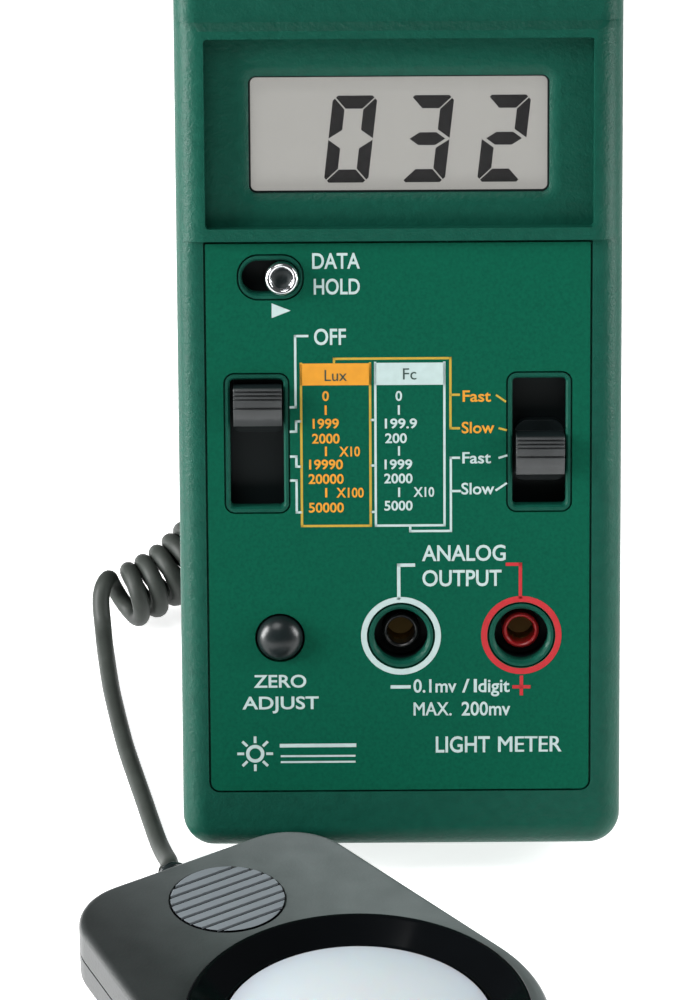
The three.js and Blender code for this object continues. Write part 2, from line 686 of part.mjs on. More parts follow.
function rearBoot() {
  const profile = [
    [1.6, -1.6], [2.9, -1.6], [2.9, -0.4], [2.4, -0.4], [2.4, 2.1], [3.4, 2.1], [3.4, 2.8],
    [2.8, 3.3], [2.3, 6], [1.6, 6], [1.6, -1.6],
  ].map(([radius, reach]) => new THREE.Vector2(radius, reach));
  const geometry = new THREE.LatheGeometry(profile, 14);
  geometry.rotateZ(Math.PI / 2);
  geometry.translate(-HEAD.rear + HEAD_WALL, 0, CORD_HEIGHT);
  return geometry;
}

function rearHole() {
  const geometry = new THREE.CylinderGeometry(2.7, 2.7, 5, 14);
  geometry.rotateZ(Math.PI / 2);
  geometry.translate(-HEAD.rear + 1, 0, CORD_HEIGHT);
  return solid(geometry);
}

function headTopShell() {
  const low = HEAD.split + GAP;
  const whole = headSlab(0, 0, HEAD.height, 1.1, 3);
  const shell = whole.subtract(block(-90, 90, -90, 90, -5, low));
  const cavity = headSlab(HEAD_WALL, low - 1, HEAD.height - HEAD_WALL);
  const bosses = HEAD_SCREWS.map(([x, y]) => post(x, y, 2.2, low, 7.1));
  const roofBosses = HEAD_SCREWS.slice(0, 2).map(([x, y]) => post(x, y, 2.2, low, 8.6));
  const frontTie = block(HEAD_SCREWS[2][0], HEAD.round - 1, -2, 2, low, 7.1);
  const bores = HEAD_SCREWS.map(([x, y]) => post(x, y, 0.95, low - 1, 6.6, 10));
  return shell
    .subtract(cavity)
    .subtract(post(0, 0, RING.collar + GAP, 0, 20, 36))
    .add(joined([...bosses, ...roofBosses, frontTie]).subtract(joined(bores)))
    .subtract(post(THUMB.x, 0, THUMB.radius + GAP, HEAD.height - 0.9, 20, 24))
    .subtract(rearHole());
}

function headBottomShell() {
  const whole = headSlab(0, 0, HEAD.height, 1.6, 2);
  const cavity = headSlab(HEAD_WALL, HEAD_WALL, 20);
  const posts = HEAD_SCREWS.map(([x, y]) => post(x, y, 2.9, 0.5, HEAD.split));
  const bores = HEAD_SCREWS.map(([x, y]) =>
    post(x, y, 0.95, -1, 6, 10).add(post(x, y, 1.9, -1, 1.7))
  );
  return whole
    .subtract(cavity)
    .add(joined(posts))
    .subtract(joined(bores))
    .subtract(block(-90, 90, -90, 90, HEAD.split, 20))
    .subtract(rearHole());
}

function headScrew(x, y) {
  const profile = [[0, 0.3], [1.3, 0.3], [1.6, 0.6], [1.6, 1.4], [0.65, 1.4], [0.65, 6.2], [0, 6.3]];
  const geometry = upright(profile, 8);
  geometry.translate(x, y, 0);
  const slots = block(x - 0.9, x + 0.9, y - 0.2, y + 0.2, 0, 0.9).add(
    block(x - 0.2, x + 0.2, y - 0.9, y + 0.9, 0, 0.9)
  );
  return solid(geometry).subtract(slots);
}

function thumbPad() {
  const low = HEAD.height - 0.6;
  const top = HEAD.height + 0.2;
  const pitch = (2 * THUMB.radius) / THUMB.strips;
  const grooves = [];
  for (let i = 1; i < THUMB.strips; i += 1) {
    const x = THUMB.x - THUMB.radius + i * pitch;
    grooves.push(block(x - THUMB.groove / 2, x + THUMB.groove / 2, -12, 12, top - 0.4, top + 1));
  }
  return post(THUMB.x, 0, THUMB.radius, low, top, 24).subtract(joined(grooves));
}

function domeProfile() {
  const points = [[0, DOME.base], [DOME.radius, DOME.base], [DOME.radius, DOME.edge]];
  const rise = DOME.crown - DOME.edge;
  const curve = (DOME.radius ** 2 + rise ** 2) / (2 * rise);
  const steps = 4;
  for (let i = steps - 1; i >= 0; i -= 1) {
    const radius = (DOME.radius * i) / steps;
    points.push([radius, DOME.crown - curve + Math.sqrt(curve ** 2 - radius ** 2)]);
  }
  return points;
}

function addSensor(head) {
  piece(head, "sensor_top_shell", headTopShell(), HEAD_GREY);
  piece(head, "sensor_bottom_shell", headBottomShell(), HEAD_GREY);
  const ring = upright([
    [RING.lip, 10.3], [RING.lip, 10.8], [RING.lip - 0.3, RING.lipTop], [RING.funnelTop, RING.lipTop],
    [RING.funnelLow, 8.75], [19.4, 8.65], [19.4, RING.seat], [17, RING.seat], [17, 7.4],
    [RING.collar, 7.4], [RING.collar, 10.3], [RING.lip, 10.3],
  ]);
  piece(head, "diffuser_ring", ring, GLOSS_BLACK);
  piece(head, "diffuser_dome", upright(domeProfile()), WHITE);
  piece(head, "optical_filter", post(0, 0, 7, 6.7, 7.9, 20), FILTER_GREEN);
  piece(head, "photodiode", block(-5, 5, -5, 5, 4.6, 6.4), BLACK);
  piece(head, "sensor_pcb", post(0, 0, 15, 2.6, 4.2, 24), BOARD);
  piece(head, "thumb_pad", thumbPad(), STRIP_GREY);
  piece(head, "sensor_strain_relief", rearBoot(), SOFT_BLACK);
  HEAD_SCREWS.forEach(([x, y], i) => piece(head, `sensor_screw_${i + 1}`, headScrew(x, y), STEEL));
}

// ---- Cord ------------------------------------------------------------------------------------------
// The straight lead out of the case, the curly coil behind it, and the tail over the table to the head.
const LEAD_ROUTE = [
  [-13.8, 68.75, 191.6], [-13.8, 70.5, 197.2], [-13.8, 73.2, 203.6], [-13.8, 78.3, 208.9],
  [-13.8, 85.4, 211.3], [-13.8, 92.6, 209], [-13.8, 97.3, 203.2], [-13.8, 99.4, 196],
  [-13.8, 99.9, 189.3],
];
const COIL_ROUTE = [
  [-13.8, 100, 188.9], [-13.8, 100, 160], [-13.8, 100, 120], [-13.8, 100, 80], [-13.8, 100, 45],
  [-13.9, 99.5, 33], [-15.2, 96.5, 22.5], [-18.5, 89, 15.5], [-24.3, 80.5, 10.9], [-30.5, 76, 7.4],
  [-36.2, 73.4, 5.1],
];
const TAIL_ROUTE = [
  [-40, 73.9, 7.6], [-39.9, 72.6, 6.2], [-39.6, 69.5, 3.5], [-39.1, 64.5, 1.9], [-38.1, 55.8, 1.4],
  [-37.2, 49.2, 1.4], [-35.1, 36.6, 1.4], [-33.2, 27.5, 1.4], [-31.6, 20.2, 1.5], [-29.9, 12.5, 1.9],
  [-28.7, 7, 2.9], [-27.9, 2.6, 4.3], [-27.6, -1, 4.9], [-27.4, -4.8, 5],
];

function tube(route, radius, sides, steps) {
  const curve = new THREE.CatmullRomCurve3(
    route.map(([x, y, z]) => new THREE.Vector3(x, y, z)), false, "centripetal"
  );
  const section = new THREE.Shape();
  for (let i = 0; i < sides; i += 1) {
    const angle = ((i + 0.5) / sides) * 2 * Math.PI;
    const x = radius * Math.cos(angle);
    const y = radius * Math.sin(angle);
    if (i === 0) section.moveTo(x, y);
    else section.lineTo(x, y);
  }
  return new THREE.ExtrudeGeometry(section, { steps, extrudePath: curve, bevelEnabled: false });
}

function addCord(whole) {
  piece(whole, "cord_lead", tube(LEAD_ROUTE, CORD_RADIUS, 8, 12), CORD_BLACK);
  piece(whole, "cord_coil", tube(COIL_ROUTE, COIL_RADIUS, 10, 30), CORD_BLACK);
  piece(whole, "cord_tail", tube(TAIL_ROUTE, CORD_RADIUS, 8, 22), CORD_BLACK);
}

// ---- Assembly --------------------------------------------------------------------------------------
const lightMeter = new THREE.Group();

const meter = new THREE.Group();
meter.position.copy(CASE_PLACE);
meter.rotation.x = -LEAN;
addCase(meter);
addDisplay(meter);
addElectronics(meter);
addControls(meter);
addStand(meter);
lightMeter.add(meter);

const head = new THREE.Group();
head.position.copy(SENSOR_PLACE);
head.rotation.z = SENSOR_TURN;
addSensor(head);
lightMeter.add(head);

addCord(lightMeter);

export default lightMeter;
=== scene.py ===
"""Looks of a hand-held light meter with its light sensor on a curly cord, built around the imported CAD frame.

Fine shells, knobs, jacks, sensor head, cord, printing and display stand for the plain CAD solids. Shapes are
made in millimetres in the case's frame (x across, y into its depth, z up the face) or in the sensor head's
frame (origin under the diffuser's middle, x towards the round end), and are then placed in metres.
"""

import json
import math

import bmesh
import bpy
from mathutils import Matrix, Vector


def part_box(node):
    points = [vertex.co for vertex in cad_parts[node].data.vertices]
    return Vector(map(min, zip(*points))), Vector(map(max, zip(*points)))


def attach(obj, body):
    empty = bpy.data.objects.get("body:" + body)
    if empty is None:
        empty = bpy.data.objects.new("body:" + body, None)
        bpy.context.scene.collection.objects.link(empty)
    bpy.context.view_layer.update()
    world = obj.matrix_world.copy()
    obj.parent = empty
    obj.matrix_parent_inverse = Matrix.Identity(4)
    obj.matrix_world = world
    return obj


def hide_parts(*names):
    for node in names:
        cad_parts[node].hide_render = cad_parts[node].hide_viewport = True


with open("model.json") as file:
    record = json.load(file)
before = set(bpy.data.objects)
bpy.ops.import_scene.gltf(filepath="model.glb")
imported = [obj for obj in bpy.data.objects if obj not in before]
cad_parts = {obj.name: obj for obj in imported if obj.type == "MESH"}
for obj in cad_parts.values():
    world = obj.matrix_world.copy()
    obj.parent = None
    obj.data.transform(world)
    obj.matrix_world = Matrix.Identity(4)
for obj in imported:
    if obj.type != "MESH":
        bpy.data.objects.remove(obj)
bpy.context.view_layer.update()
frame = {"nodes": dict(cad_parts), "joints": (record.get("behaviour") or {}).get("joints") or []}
MM = 0.001

# ---- Driving sizes, in millimetres, as the CAD part has them ------------------------------------------
GAP = 0.3
CASE = {"half": 32.25, "length": 188, "depth": 24.5, "corner": 4.7, "front": 3.5, "back": 1.5}
WALL = 2.2
FRONT_WALL = 2.4
SPLIT = 12.35
COLLAR = {"low": 90.95, "high": 122.5, "rise": 0.9, "slope": 1.2, "round": 4.3}
RECESS = {"half": 27.95, "low": 92.75, "high": 120.15, "depth": 1.6}
VIEW = {"half": 21.65, "low": 97.4, "high": 114.4, "corner": 1.1}
VIEW_SLOPE = 1.7
FUNNEL_DEPTH = 1.0
FLOOR_BACK = 3.4
GLASS_DEPTH = 5.0
PANEL = {
    "left": -28.3, "right": 27.8, "low": 8.7, "high": 90.8, "recess": 0.9, "thickness": 0.6, "corner": 1.6,
}
RANGE_X, UNIT_X, SLOT_Z = -20.8, 20.15, 61.15
SLOT = {"width": 7.8, "length": 18.9, "rim_width": 9.1, "rim_length": 20.4}
RANGE_REST, UNIT_REST = 66.8, 59.4
KNOB = {"width": 7, "length": 5.8, "proud": 2.1, "shift": 0.15, "base_width": 7.3, "base": 8.9}
HOLD = {
    "x": -18.65, "z": 85.6, "length": 8.3, "width": 4.9, "rim_length": 9.2, "rim_width": 6.3, "knob_x": -17,
}
ZERO = {"x": -17.7, "z": 32.1, "radius": 3.35, "hole": 3.65, "proud": 2.1}
JACK_X = (0, 17.6)
JACK_Z = 32.3
JACK = {"hole": 3.93, "rim": 4.7, "tube": 2.7, "bore": 1.95, "front": 2.9, "floor": 5.8, "end": 10.7}
SCREWS = [(x, z) for x in (-26.6, 26.6) for z in (9, 172)]
GLAND_X = -21
STAND_AXIS = (22.6, 118)
STAND_OPEN = math.radians(23.5)
HEAD = {"round": 27, "rear": 47.1, "half": 22, "corner": 10, "height": 10, "split": 4.9, "wall": 1.8}
HEAD_SCREWS = [(-37, -12.5), (-37, 12.5), (23.4, 0)]
HEAD_TURN = math.radians(-57.6)
THUMB = {"x": -34.9, "radius": 8.25, "strips": 9, "groove": 0.56}
CORD_DIAMETER = 2.75
COIL_CENTRE_RADIUS = 3.95

# ---- Where the case and the head stand, from the frame -------------------------------------------------
joints = {joint["name"]: joint for joint in frame["joints"]}
case_up = Vector(joints["range_slide"]["axis"]).normalized()
case_across = Vector((1, 0, 0))
case_into = case_up.cross(case_across)
case_origin = Vector(joints["zero_turn"]["pos_m"]) - MM * (ZERO["x"] * case_across + ZERO["z"] * case_up)
IN_CASE = Matrix.Translation(case_origin) @ Matrix(
    [[MM * v[i] for v in (case_across, case_into, case_up)] for i in range(3)]
).to_4x4()
dome_low, dome_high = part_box("diffuser_dome")
head_centre = (dome_low + dome_high) / 2
IN_HEAD = (
    Matrix.Translation((head_centre.x, head_centre.y, 0))
    @ Matrix.Rotation(HEAD_TURN, 4, "Z")
    @ Matrix.Scale(MM, 4)
)
LEAN = math.asin(case_up.y)


def linked(name, data):
    """A new object with that data, in the scene."""
    obj = bpy.data.objects.new(name, data)
    bpy.context.scene.collection.objects.link(obj)
    return obj


# ---- Camera ---------------------------------------------------------------------------------------------
CAMERA_PLACE = Vector((-0.00225, -0.64013, 0.42942))
CAMERA_YAW = math.radians(0.184)
CAMERA_PITCH = math.radians(29.641)
CAMERA_ROLL = math.radians(-0.273)
CAMERA_LENS = 186.27


def add_camera():
    data = bpy.data.cameras.new("camera")
    data.sensor_width = 36
    data.lens = CAMERA_LENS
    camera = linked("camera", data)
    ahead = Vector((
        math.sin(CAMERA_YAW) * math.cos(CAMERA_PITCH),
        math.cos(CAMERA_YAW) * math.cos(CAMERA_PITCH),
        -math.sin(CAMERA_PITCH),
    ))
    level = Vector((math.cos(CAMERA_YAW), -math.sin(CAMERA_YAW), 0))
    up = level.cross(ahead)
    c, s = math.cos(CAMERA_ROLL), math.sin(CAMERA_ROLL)
    side = c * level + s * up
    top = c * up - s * level
    camera.matrix_world = Matrix.Translation(CAMERA_PLACE) @ Matrix(
        [[v[i] for v in (side, top, -ahead)] for i in range(3)]
    ).to_4x4()
    bpy.context.scene.camera = camera


# ---- Materials ------------------------------------------------------------------------------------------
def nodes_of(name):
    material = bpy.data.materials.new(name)
    material.use_nodes = True
    tree = material.node_tree
    return material, tree.nodes, tree.links, tree.nodes["Principled BSDF"]


def noise(nodes, links, cells, detail=2.0):
    """Noise on the piece's own coordinates, with that many cells to the metre."""
    place = nodes.new("ShaderNodeTexCoord")
    node = nodes.new("ShaderNodeTexNoise")
    node.inputs["Scale"].default_value = cells
    node.inputs["Detail"].default_value = detail
    links.new(place.outputs["Object"], node.inputs["Vector"])
    return node


def vary_color(nodes, links, shader, source, color, amount):
    """The base colour goes a little darker and lighter with the source."""
    ramp = nodes.new("ShaderNodeValToRGB")
    ramp.color_ramp.elements[0].position = 0.3
    ramp.color_ramp.elements[1].position = 0.7
    ramp.color_ramp.elements[0].color = [max(0, c * (1 - amount)) for c in color] + [1]
    ramp.color_ramp.elements[1].color = [min(1, c * (1 + amount)) for c in color] + [1]
    links.new(source, ramp.inputs["Fac"])
    links.new(ramp.outputs["Color"], shader.inputs["Base Color"])


def vary_roughness(nodes, links, shader, source, roughness, amount):
    spread = nodes.new("ShaderNodeMapRange")
    spread.inputs["To Min"].default_value = max(0.02, roughness - amount)
    spread.inputs["To Max"].default_value = min(1, roughness + amount)
    links.new(source, spread.inputs["Value"])
    links.new(spread.outputs["Result"], shader.inputs["Roughness"])


def surface(name, color, roughness, metallic=0.0, mottle=(70, 0.06), *, grain, uneven=0.04, **fixed):
    """Principled material whose colour mottles and whose roughness and height vary as moulded plastic does.

    mottle is (cells to the metre, share of the colour). grain is a list of (cells to the metre, height in
    millimetres) that build up the relief. fixed are shader sockets that stay constant.
    """
    material, nodes, links, shader = nodes_of(name)
    shader.inputs["Metallic"].default_value = metallic
    for socket, value in fixed.items():
        shader.inputs[socket.replace("_", " ")].default_value = value
    cloud = noise(nodes, links, mottle[0], 4)
    vary_color(nodes, links, shader, cloud.outputs["Fac"], color, mottle[1])
    vary_roughness(nodes, links, shader, cloud.outputs["Fac"], roughness, uneven)
    normal = None
    for cells, height in grain:
        relief = noise(nodes, links, cells)
        bump = nodes.new("ShaderNodeBump")
        bump.inputs["Distance"].default_value = height * MM
        bump.inputs["Strength"].default_value = 1
        links.new(relief.outputs["Fac"], bump.inputs["Height"])
        if normal:
            links.new(normal, bump.inputs["Normal"])
        normal = bump.outputs["Normal"]
    links.new(normal, shader.inputs["Normal"])
    return material


def case_plastic():
    return surface(
        "case_green", (0.0028, 0.053, 0.035), 0.4, mottle=(600, 0.08),
        grain=[(1300, 0.08), (3000, 0.04)], uneven=0.05, Specular_IOR_Level=0.15,
    )


def head_plastic_with_painted_sheen():
    """Grey plastic whose base colour is painted lighter from the sensor's front left corner to its rear right
    one: painted sheen.
    """
    material = surface(
        "head_grey", (0.0225, 0.0255, 0.0255), 0.36, mottle=(200, 0.1),
        grain=[(2000, 0.03)], uneven=0.03, Specular_IOR_Level=0.6,
    )
    nodes, links = material.node_tree.nodes, material.node_tree.links
    shader = nodes["Principled BSDF"]
    # Painted sheen: the base colour is scaled up along this direction, standing in for light falling on the
    # head's rear right.
    place = nodes.new("ShaderNodeTexCoord")
    along = nodes.new("ShaderNodeVectorMath")
    along.operation = "DOT_PRODUCT"
    along.inputs[1].default_value = (0.75, 0.65, 0)
    spread = nodes.new("ShaderNodeMapRange")
    spread.inputs["From Min"].default_value = -0.044
    spread.inputs["From Max"].default_value = -0.012
    spread.inputs["To Min"].default_value = 1
    spread.inputs["To Max"].default_value = 4.6
    lighter = nodes.new("ShaderNodeVectorMath")
    lighter.operation = "SCALE"
    links.new(place.outputs["Object"], along.inputs[0])
    links.new(along.outputs["Value"], spread.inputs["Value"])
    links.new(shader.inputs["Base Color"].links[0].from_socket, lighter.inputs[0])
    links.new(spread.outputs["Result"], lighter.inputs["Scale"])
    links.new(lighter.outputs["Vector"], shader.inputs["Base Color"])
    return material


def clear_window():
    """Clear plastic over the display: mostly see-through, with a faint mirror that grows at a slant."""
    material, nodes, links, shader = nodes_of("clear_window")
    shader.inputs["Roughness"].default_value = 0.03
    shader.inputs["Base Color"].default_value = (0.9, 0.92, 0.92, 1)
    film = noise(nodes, links, 40)
    haze = nodes.new("ShaderNodeBump")
    haze.inputs["Distance"].default_value = 0.002 * MM
    links.new(film.outputs["Fac"], haze.inputs["Height"])
    links.new(haze.outputs["Normal"], shader.inputs["Normal"])
    see_through = nodes.new("ShaderNodeBsdfTransparent")
    slant = nodes.new("ShaderNodeFresnel")
    slant.inputs["IOR"].default_value = 1.25
    mix = nodes.new("ShaderNodeMixShader")
    links.new(slant.outputs["Fac"], mix.inputs["Fac"])
    links.new(see_through.outputs["BSDF"], mix.inputs[1])
    links.new(shader.outputs["BSDF"], mix.inputs[2])
    links.new(mix.outputs["Shader"], nodes["Material Output"].inputs["Surface"])
    return material


def board_material():
    """Green solder mask with a dim pattern of copper tracks under it."""
    material, nodes, links, shader = nodes_of("board_green")
    shader.inputs["Roughness"].default_value = 0.35
    bricks = nodes.new("ShaderNodeTexBrick")
    place = nodes.new("ShaderNodeTexCoord")
    links.new(place.outputs["Object"], bricks.inputs["Vector"])
    bricks.inputs["Scale"].default_value = 160
    bricks.inputs["Mortar Size"].default_value = 0.03
    bricks.inputs["Color1"].default_value = (0.01, 0.11, 0.035, 1)
    bricks.inputs["Color2"].default_value = (0.012, 0.13, 0.04, 1)
    bricks.inputs["Mortar"].default_value = (0.03, 0.2, 0.07, 1)
    links.new(bricks.outputs["Color"], shader.inputs["Base Color"])
    return material


FINE = [(1800, 0.006)]
LOOKS = {
    "case_green": case_plastic(),
    "panel_green": surface(
        "panel_green", (0.0013, 0.066, 0.0375), 0.6, mottle=(2200, 0.12), grain=[(2600, 0.012)],
        Specular_IOR_Level=0.05,
    ),
    "black_plastic": surface(
        "black_plastic", (0.006, 0.011, 0.012), 0.45, grain=FINE, Specular_IOR_Level=0.25,
    ),
    "knob_grey": surface("knob_grey", (0.03, 0.033, 0.034), 0.36, mottle=(300, 0.15), grain=FINE),
    "soft_black": surface(
        "soft_black", (0.005, 0.009, 0.0095), 0.3, grain=[(1600, 0.01)], Specular_IOR_Level=0.4,
    ),
    "jack_black": surface("jack_black", (0.008, 0.008, 0.009), 0.28, grain=FINE),
    "jack_red": surface("jack_red", (0.45, 0.012, 0.016), 0.3, grain=FINE),
    "gloss_black": surface(
        "gloss_black", (0.002, 0.0025, 0.003), 0.1, mottle=(60, 0.2), uneven=0.03,
        grain=[(500, 0.0015)], Specular_IOR_Level=0.11,
    ),
    "head_grey": head_plastic_with_painted_sheen(),
    "strip_grey": surface("strip_grey", (0.15, 0.17, 0.185), 0.5, grain=FINE),
    "diffuser_white": surface(
        "diffuser_white", (0.56, 0.545, 0.565), 0.42, mottle=(30, 0.02),
        grain=[(1500, 0.002)], Subsurface_Weight=0.25,
    ),
    # The display's grey glows a little: painted light that lifts it out of the shade of its deep recess.
    "lcd_grey": surface(
        "lcd_grey", (0.2, 0.197, 0.185), 0.5, mottle=(900, 0.03), grain=FINE,
        Emission_Color=(0.54, 0.53, 0.5, 1), Emission_Strength=0.54,
    ),
    "clear_window": clear_window(),
    "frame_white": surface("frame_white", (0.62, 0.62, 0.6), 0.5, grain=FINE),
    "board_green": board_material(),
    "steel": surface("steel", (0.56, 0.57, 0.58), 0.3, 1.0, grain=[(1400, 0.004)], uneven=0.1),
    "chrome": surface("chrome", (0.62, 0.63, 0.65), 0.16, 1.0, grain=[(900, 0.004)], uneven=0.06),
    "brass": surface("brass", (0.3, 0.2, 0.07), 0.35, 1.0, grain=[(1400, 0.004)], uneven=0.1),
    "battery_skin": surface("battery_skin", (0.03, 0.035, 0.045), 0.35, grain=FINE),
    "filter_green": surface("filter_green", (0.12, 0.2, 0.08), 0.1, grain=FINE),
    "cord_black": surface(
        "cord_black", (0.032, 0.037, 0.033), 0.5, mottle=(240, 0.18),
        grain=[(1200, 0.02)], uneven=0.07, Specular_IOR_Level=0.25,
    ),
}
INK = {
    name: surface(
        f"ink_{name}", color, roughness, mottle=(800, 0.05), grain=FINE, Specular_IOR_Level=specular,
    )
    for name, color, roughness, specular in (
        ("white", (0.36, 0.46, 0.45), 0.55, 0.5),
        ("yellow", (0.36, 0.24, 0.016), 0.55, 0.5),
        ("amber", (0.54, 0.225, 0.006), 0.55, 0.5),
        ("red", (0.36, 0.007, 0.012), 0.5, 0.5),
        ("dark", (0.01, 0.034, 0.026), 0.55, 0.5),
        ("display", (0.01, 0.008, 0.009), 0.5, 0.2),
    )
}


# ---- Solids ---------------------------------------------------------------------------------------------
SMOOTH_ANGLE = math.radians(32)  # faces that meet at less than this are shaded as one
EDGE_ANGLE = math.radians(35)  # edges sharper than this are eased


def solid(vertices, faces):
    """A closed mesh object in millimetres, with its faces turned out."""
    mesh = bpy.data.meshes.new("solid")
    mesh.from_pydata(vertices, [], faces)
    shape = bmesh.new()
    shape.from_mesh(mesh)
    bmesh.ops.recalc_face_normals(shape, faces=shape.faces)
    shape.to_mesh(mesh)
    shape.free()
    return linked("solid", mesh)


def settle(obj):
    """Applies the object's modifiers to its mesh."""
    graph = bpy.context.evaluated_depsgraph_get()
    mesh = bpy.data.meshes.new_from_object(obj.evaluated_get(graph))
    obj.modifiers.clear()
    obj.data = mesh
    return obj


def combine(base, tools, operation):
    for tool in tools:
        modifier = base.modifiers.new("combine", "BOOLEAN")
        modifier.operation = operation
        modifier.solver = "MANIFOLD"
        modifier.object = tool
        settle(base)
        bpy.data.objects.remove(tool)
    return base


def cut(base, *tools):
    return combine(base, tools, "DIFFERENCE")


def add(base, *tools):
    return combine(base, tools, "UNION")


def keep(base, *tools):
    return combine(base, tools, "INTERSECT")


def arc(cx, cy, radius, start, end, steps):
    """Points of an arc between two angles in degrees."""
    angles = [math.radians(start + (end - start) * i / steps) for i in range(steps + 1)]
    return [(cx + radius * math.cos(a), cy + radius * math.sin(a)) for a in angles]


def rect(x0, z0, x1, z1, low, high=None, steps=10):
    """A rounded rectangle as a function of how far it is drawn in from its own edge."""
    high = low if high is None else high

    def outline(inset=0.0):
        points = []
        for left, top, radius, start in (
            (False, False, low, -90), (False, True, high, 0), (True, True, high, 90), (True, False, low, 180),
        ):
            r = max(radius - inset, 0.01)
            cx = x0 + inset + r if left else x1 - inset - r
            cz = z1 - inset - r if top else z0 + inset + r
            points += arc(cx, cz, r, start, start + 90, steps)
        return points

    return outline


def lofted(rings):
    """A solid through rings that have the same number of points, closed by the first and the last."""
    vertices = [point for points in rings for point in points]
    count = len(rings[0])
    faces = [tuple(range(count)), tuple(range(len(vertices) - count, len(vertices)))]
    for low in range(0, len(vertices) - count, count):
        high = low + count
        for i in range(count):
            j = (i + 1) % count
            faces.append((low + i, low + j, high + j, high + i))
    return solid(vertices, faces)


def layered(outline, levels, upright=False):
    """A solid through the outline drawn in by each level's inset at that level's depth (or height)."""
    return lofted([
        [(u, v, level) if upright else (u, level, v) for u, v in outline(inset)] for inset, level in levels
    ])


def flat(points, y0, y1):
    return layered(lambda inset: points, [(0, y0), (0, y1)])


def round_over(radius, start, sign, steps=8):
    """(inset, level) pairs of a rim rounded from the flat at start."""
    turns = [math.pi / 2 * i / steps for i in range(steps + 1)]
    return [(radius * (1 - math.sin(a)), start + sign * radius * (1 - math.cos(a))) for a in turns]


def slab(outline, low, high, first=0.0, last=0.0, upright=False, steps=8):
    """The outline thickened from low to high, its two rims rounded by first and last."""
    levels = round_over(first, low, 1, steps) if first else [(0, low)]
    levels += reversed(round_over(last, high, -1, steps)) if last else [(0, high)]
    return layered(outline, levels, upright)


def block(x0, x1, y0, y1, z0, z1):
    return flat([(x0, z0), (x1, z0), (x1, z1), (x0, z1)], y0, y1)


def lathe(profile, sides=72):
    """A turned solid about z, from (radius, height) points that start and end on the axis or close."""
    closed = profile[0] == profile[-1]
    vertices = []
    rings = []
    for radius, height in profile[:-1] if closed else profile:
        first = len(vertices)
        if radius < 1e-6:
            vertices.append((0, 0, height))
            rings.append([first] * sides)
        else:
            vertices += [(x, y, height) for x, y in arc(0, 0, radius, 0, 360 - 360 / sides, sides - 1)]
            rings.append(range(first, first + sides))
    faces = []
    for a, b in zip(rings, rings[1:] + rings[:1] if closed else rings[1:]):
        for i in range(sides):
            j = (i + 1) % sides
            corners = dict.fromkeys((a[i], a[j], b[j], b[i]))
            faces.append(tuple(corners))
    return solid(vertices, faces)


def moved(obj, place):
    obj.data.transform(place)
    return obj


def turned(profile, x, z, sides=72):
    """A lathe about the case's depth axis, from (radius, depth) points."""
    return moved(lathe(profile, sides), Matrix.Translation((x, 0, z)) @ Matrix.Rotation(-math.pi / 2, 4, "X"))


def round_bar(radius, low, high):
    """The lathe profile of a plain cylinder."""
    return [(0, low), (radius, low), (radius, high), (0, high)]


def rod(x, z, radius, y0, y1, sides=48):
    return turned(round_bar(radius, y0, y1), x, z, sides)


def post(x, y, radius, z0, z1, sides=48):
    return moved(lathe(round_bar(radius, z0, z1), sides), Matrix.Translation((x, y, 0)))


def softened(points, radius, steps=3):
    """A polyline whose inner corners are rounded."""
    points = [Vector(p) for p in points]
    made = [points[0]]
    for before, corner, after in zip(points, points[1:], points[2:]):
        back = before - corner
        on = after - corner
        reach = min(radius, 0.45 * back.length, 0.45 * on.length)
        a = corner + back.normalized() * reach
        b = corner + on.normalized() * reach
        for i in range(steps + 1):
            t = i / steps
            made.append((1 - t) ** 2 * a + 2 * t * (1 - t) * corner + t ** 2 * b)
    made.append(points[-1])
    return [tuple(p) for p in made]


def shade(obj):
    obj.data.polygons.foreach_set("use_smooth", [True] * len(obj.data.polygons))
    obj.data.set_sharp_from_angle(angle=SMOOTH_ANGLE)
    normals = obj.modifiers.new("normals", "WEIGHTED_NORMAL")
    normals.keep_sharp = True


def ease_edges(obj, width, segments):
    """Rounds the sharp edges a little, as a mould does."""
    bevel = obj.modifiers.new("edges", "BEVEL")
    bevel.width = width
    bevel.segments = segments
    bevel.limit_method = "ANGLE"
    bevel.angle_limit = EDGE_ANGLE
    bevel.use_clamp_overlap = True
    return settle(obj)


def piece(obj, name, look, place, body="meter", stands_for=(), edge=0.0, segments=2):
    """Names the solid, eases its edges, places it in metres and has it ride on its body."""
    if edge:
        ease_edges(obj, edge, segments)
    obj.name = name
    obj.data.name = name
    obj.data.transform(place)
    obj.data.materials.clear()
    obj.data.materials.append(LOOKS[look] if isinstance(look, str) else look)
    shade(obj)
    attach(obj, body)
    if stands_for:
        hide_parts(*stands_for)
    return obj


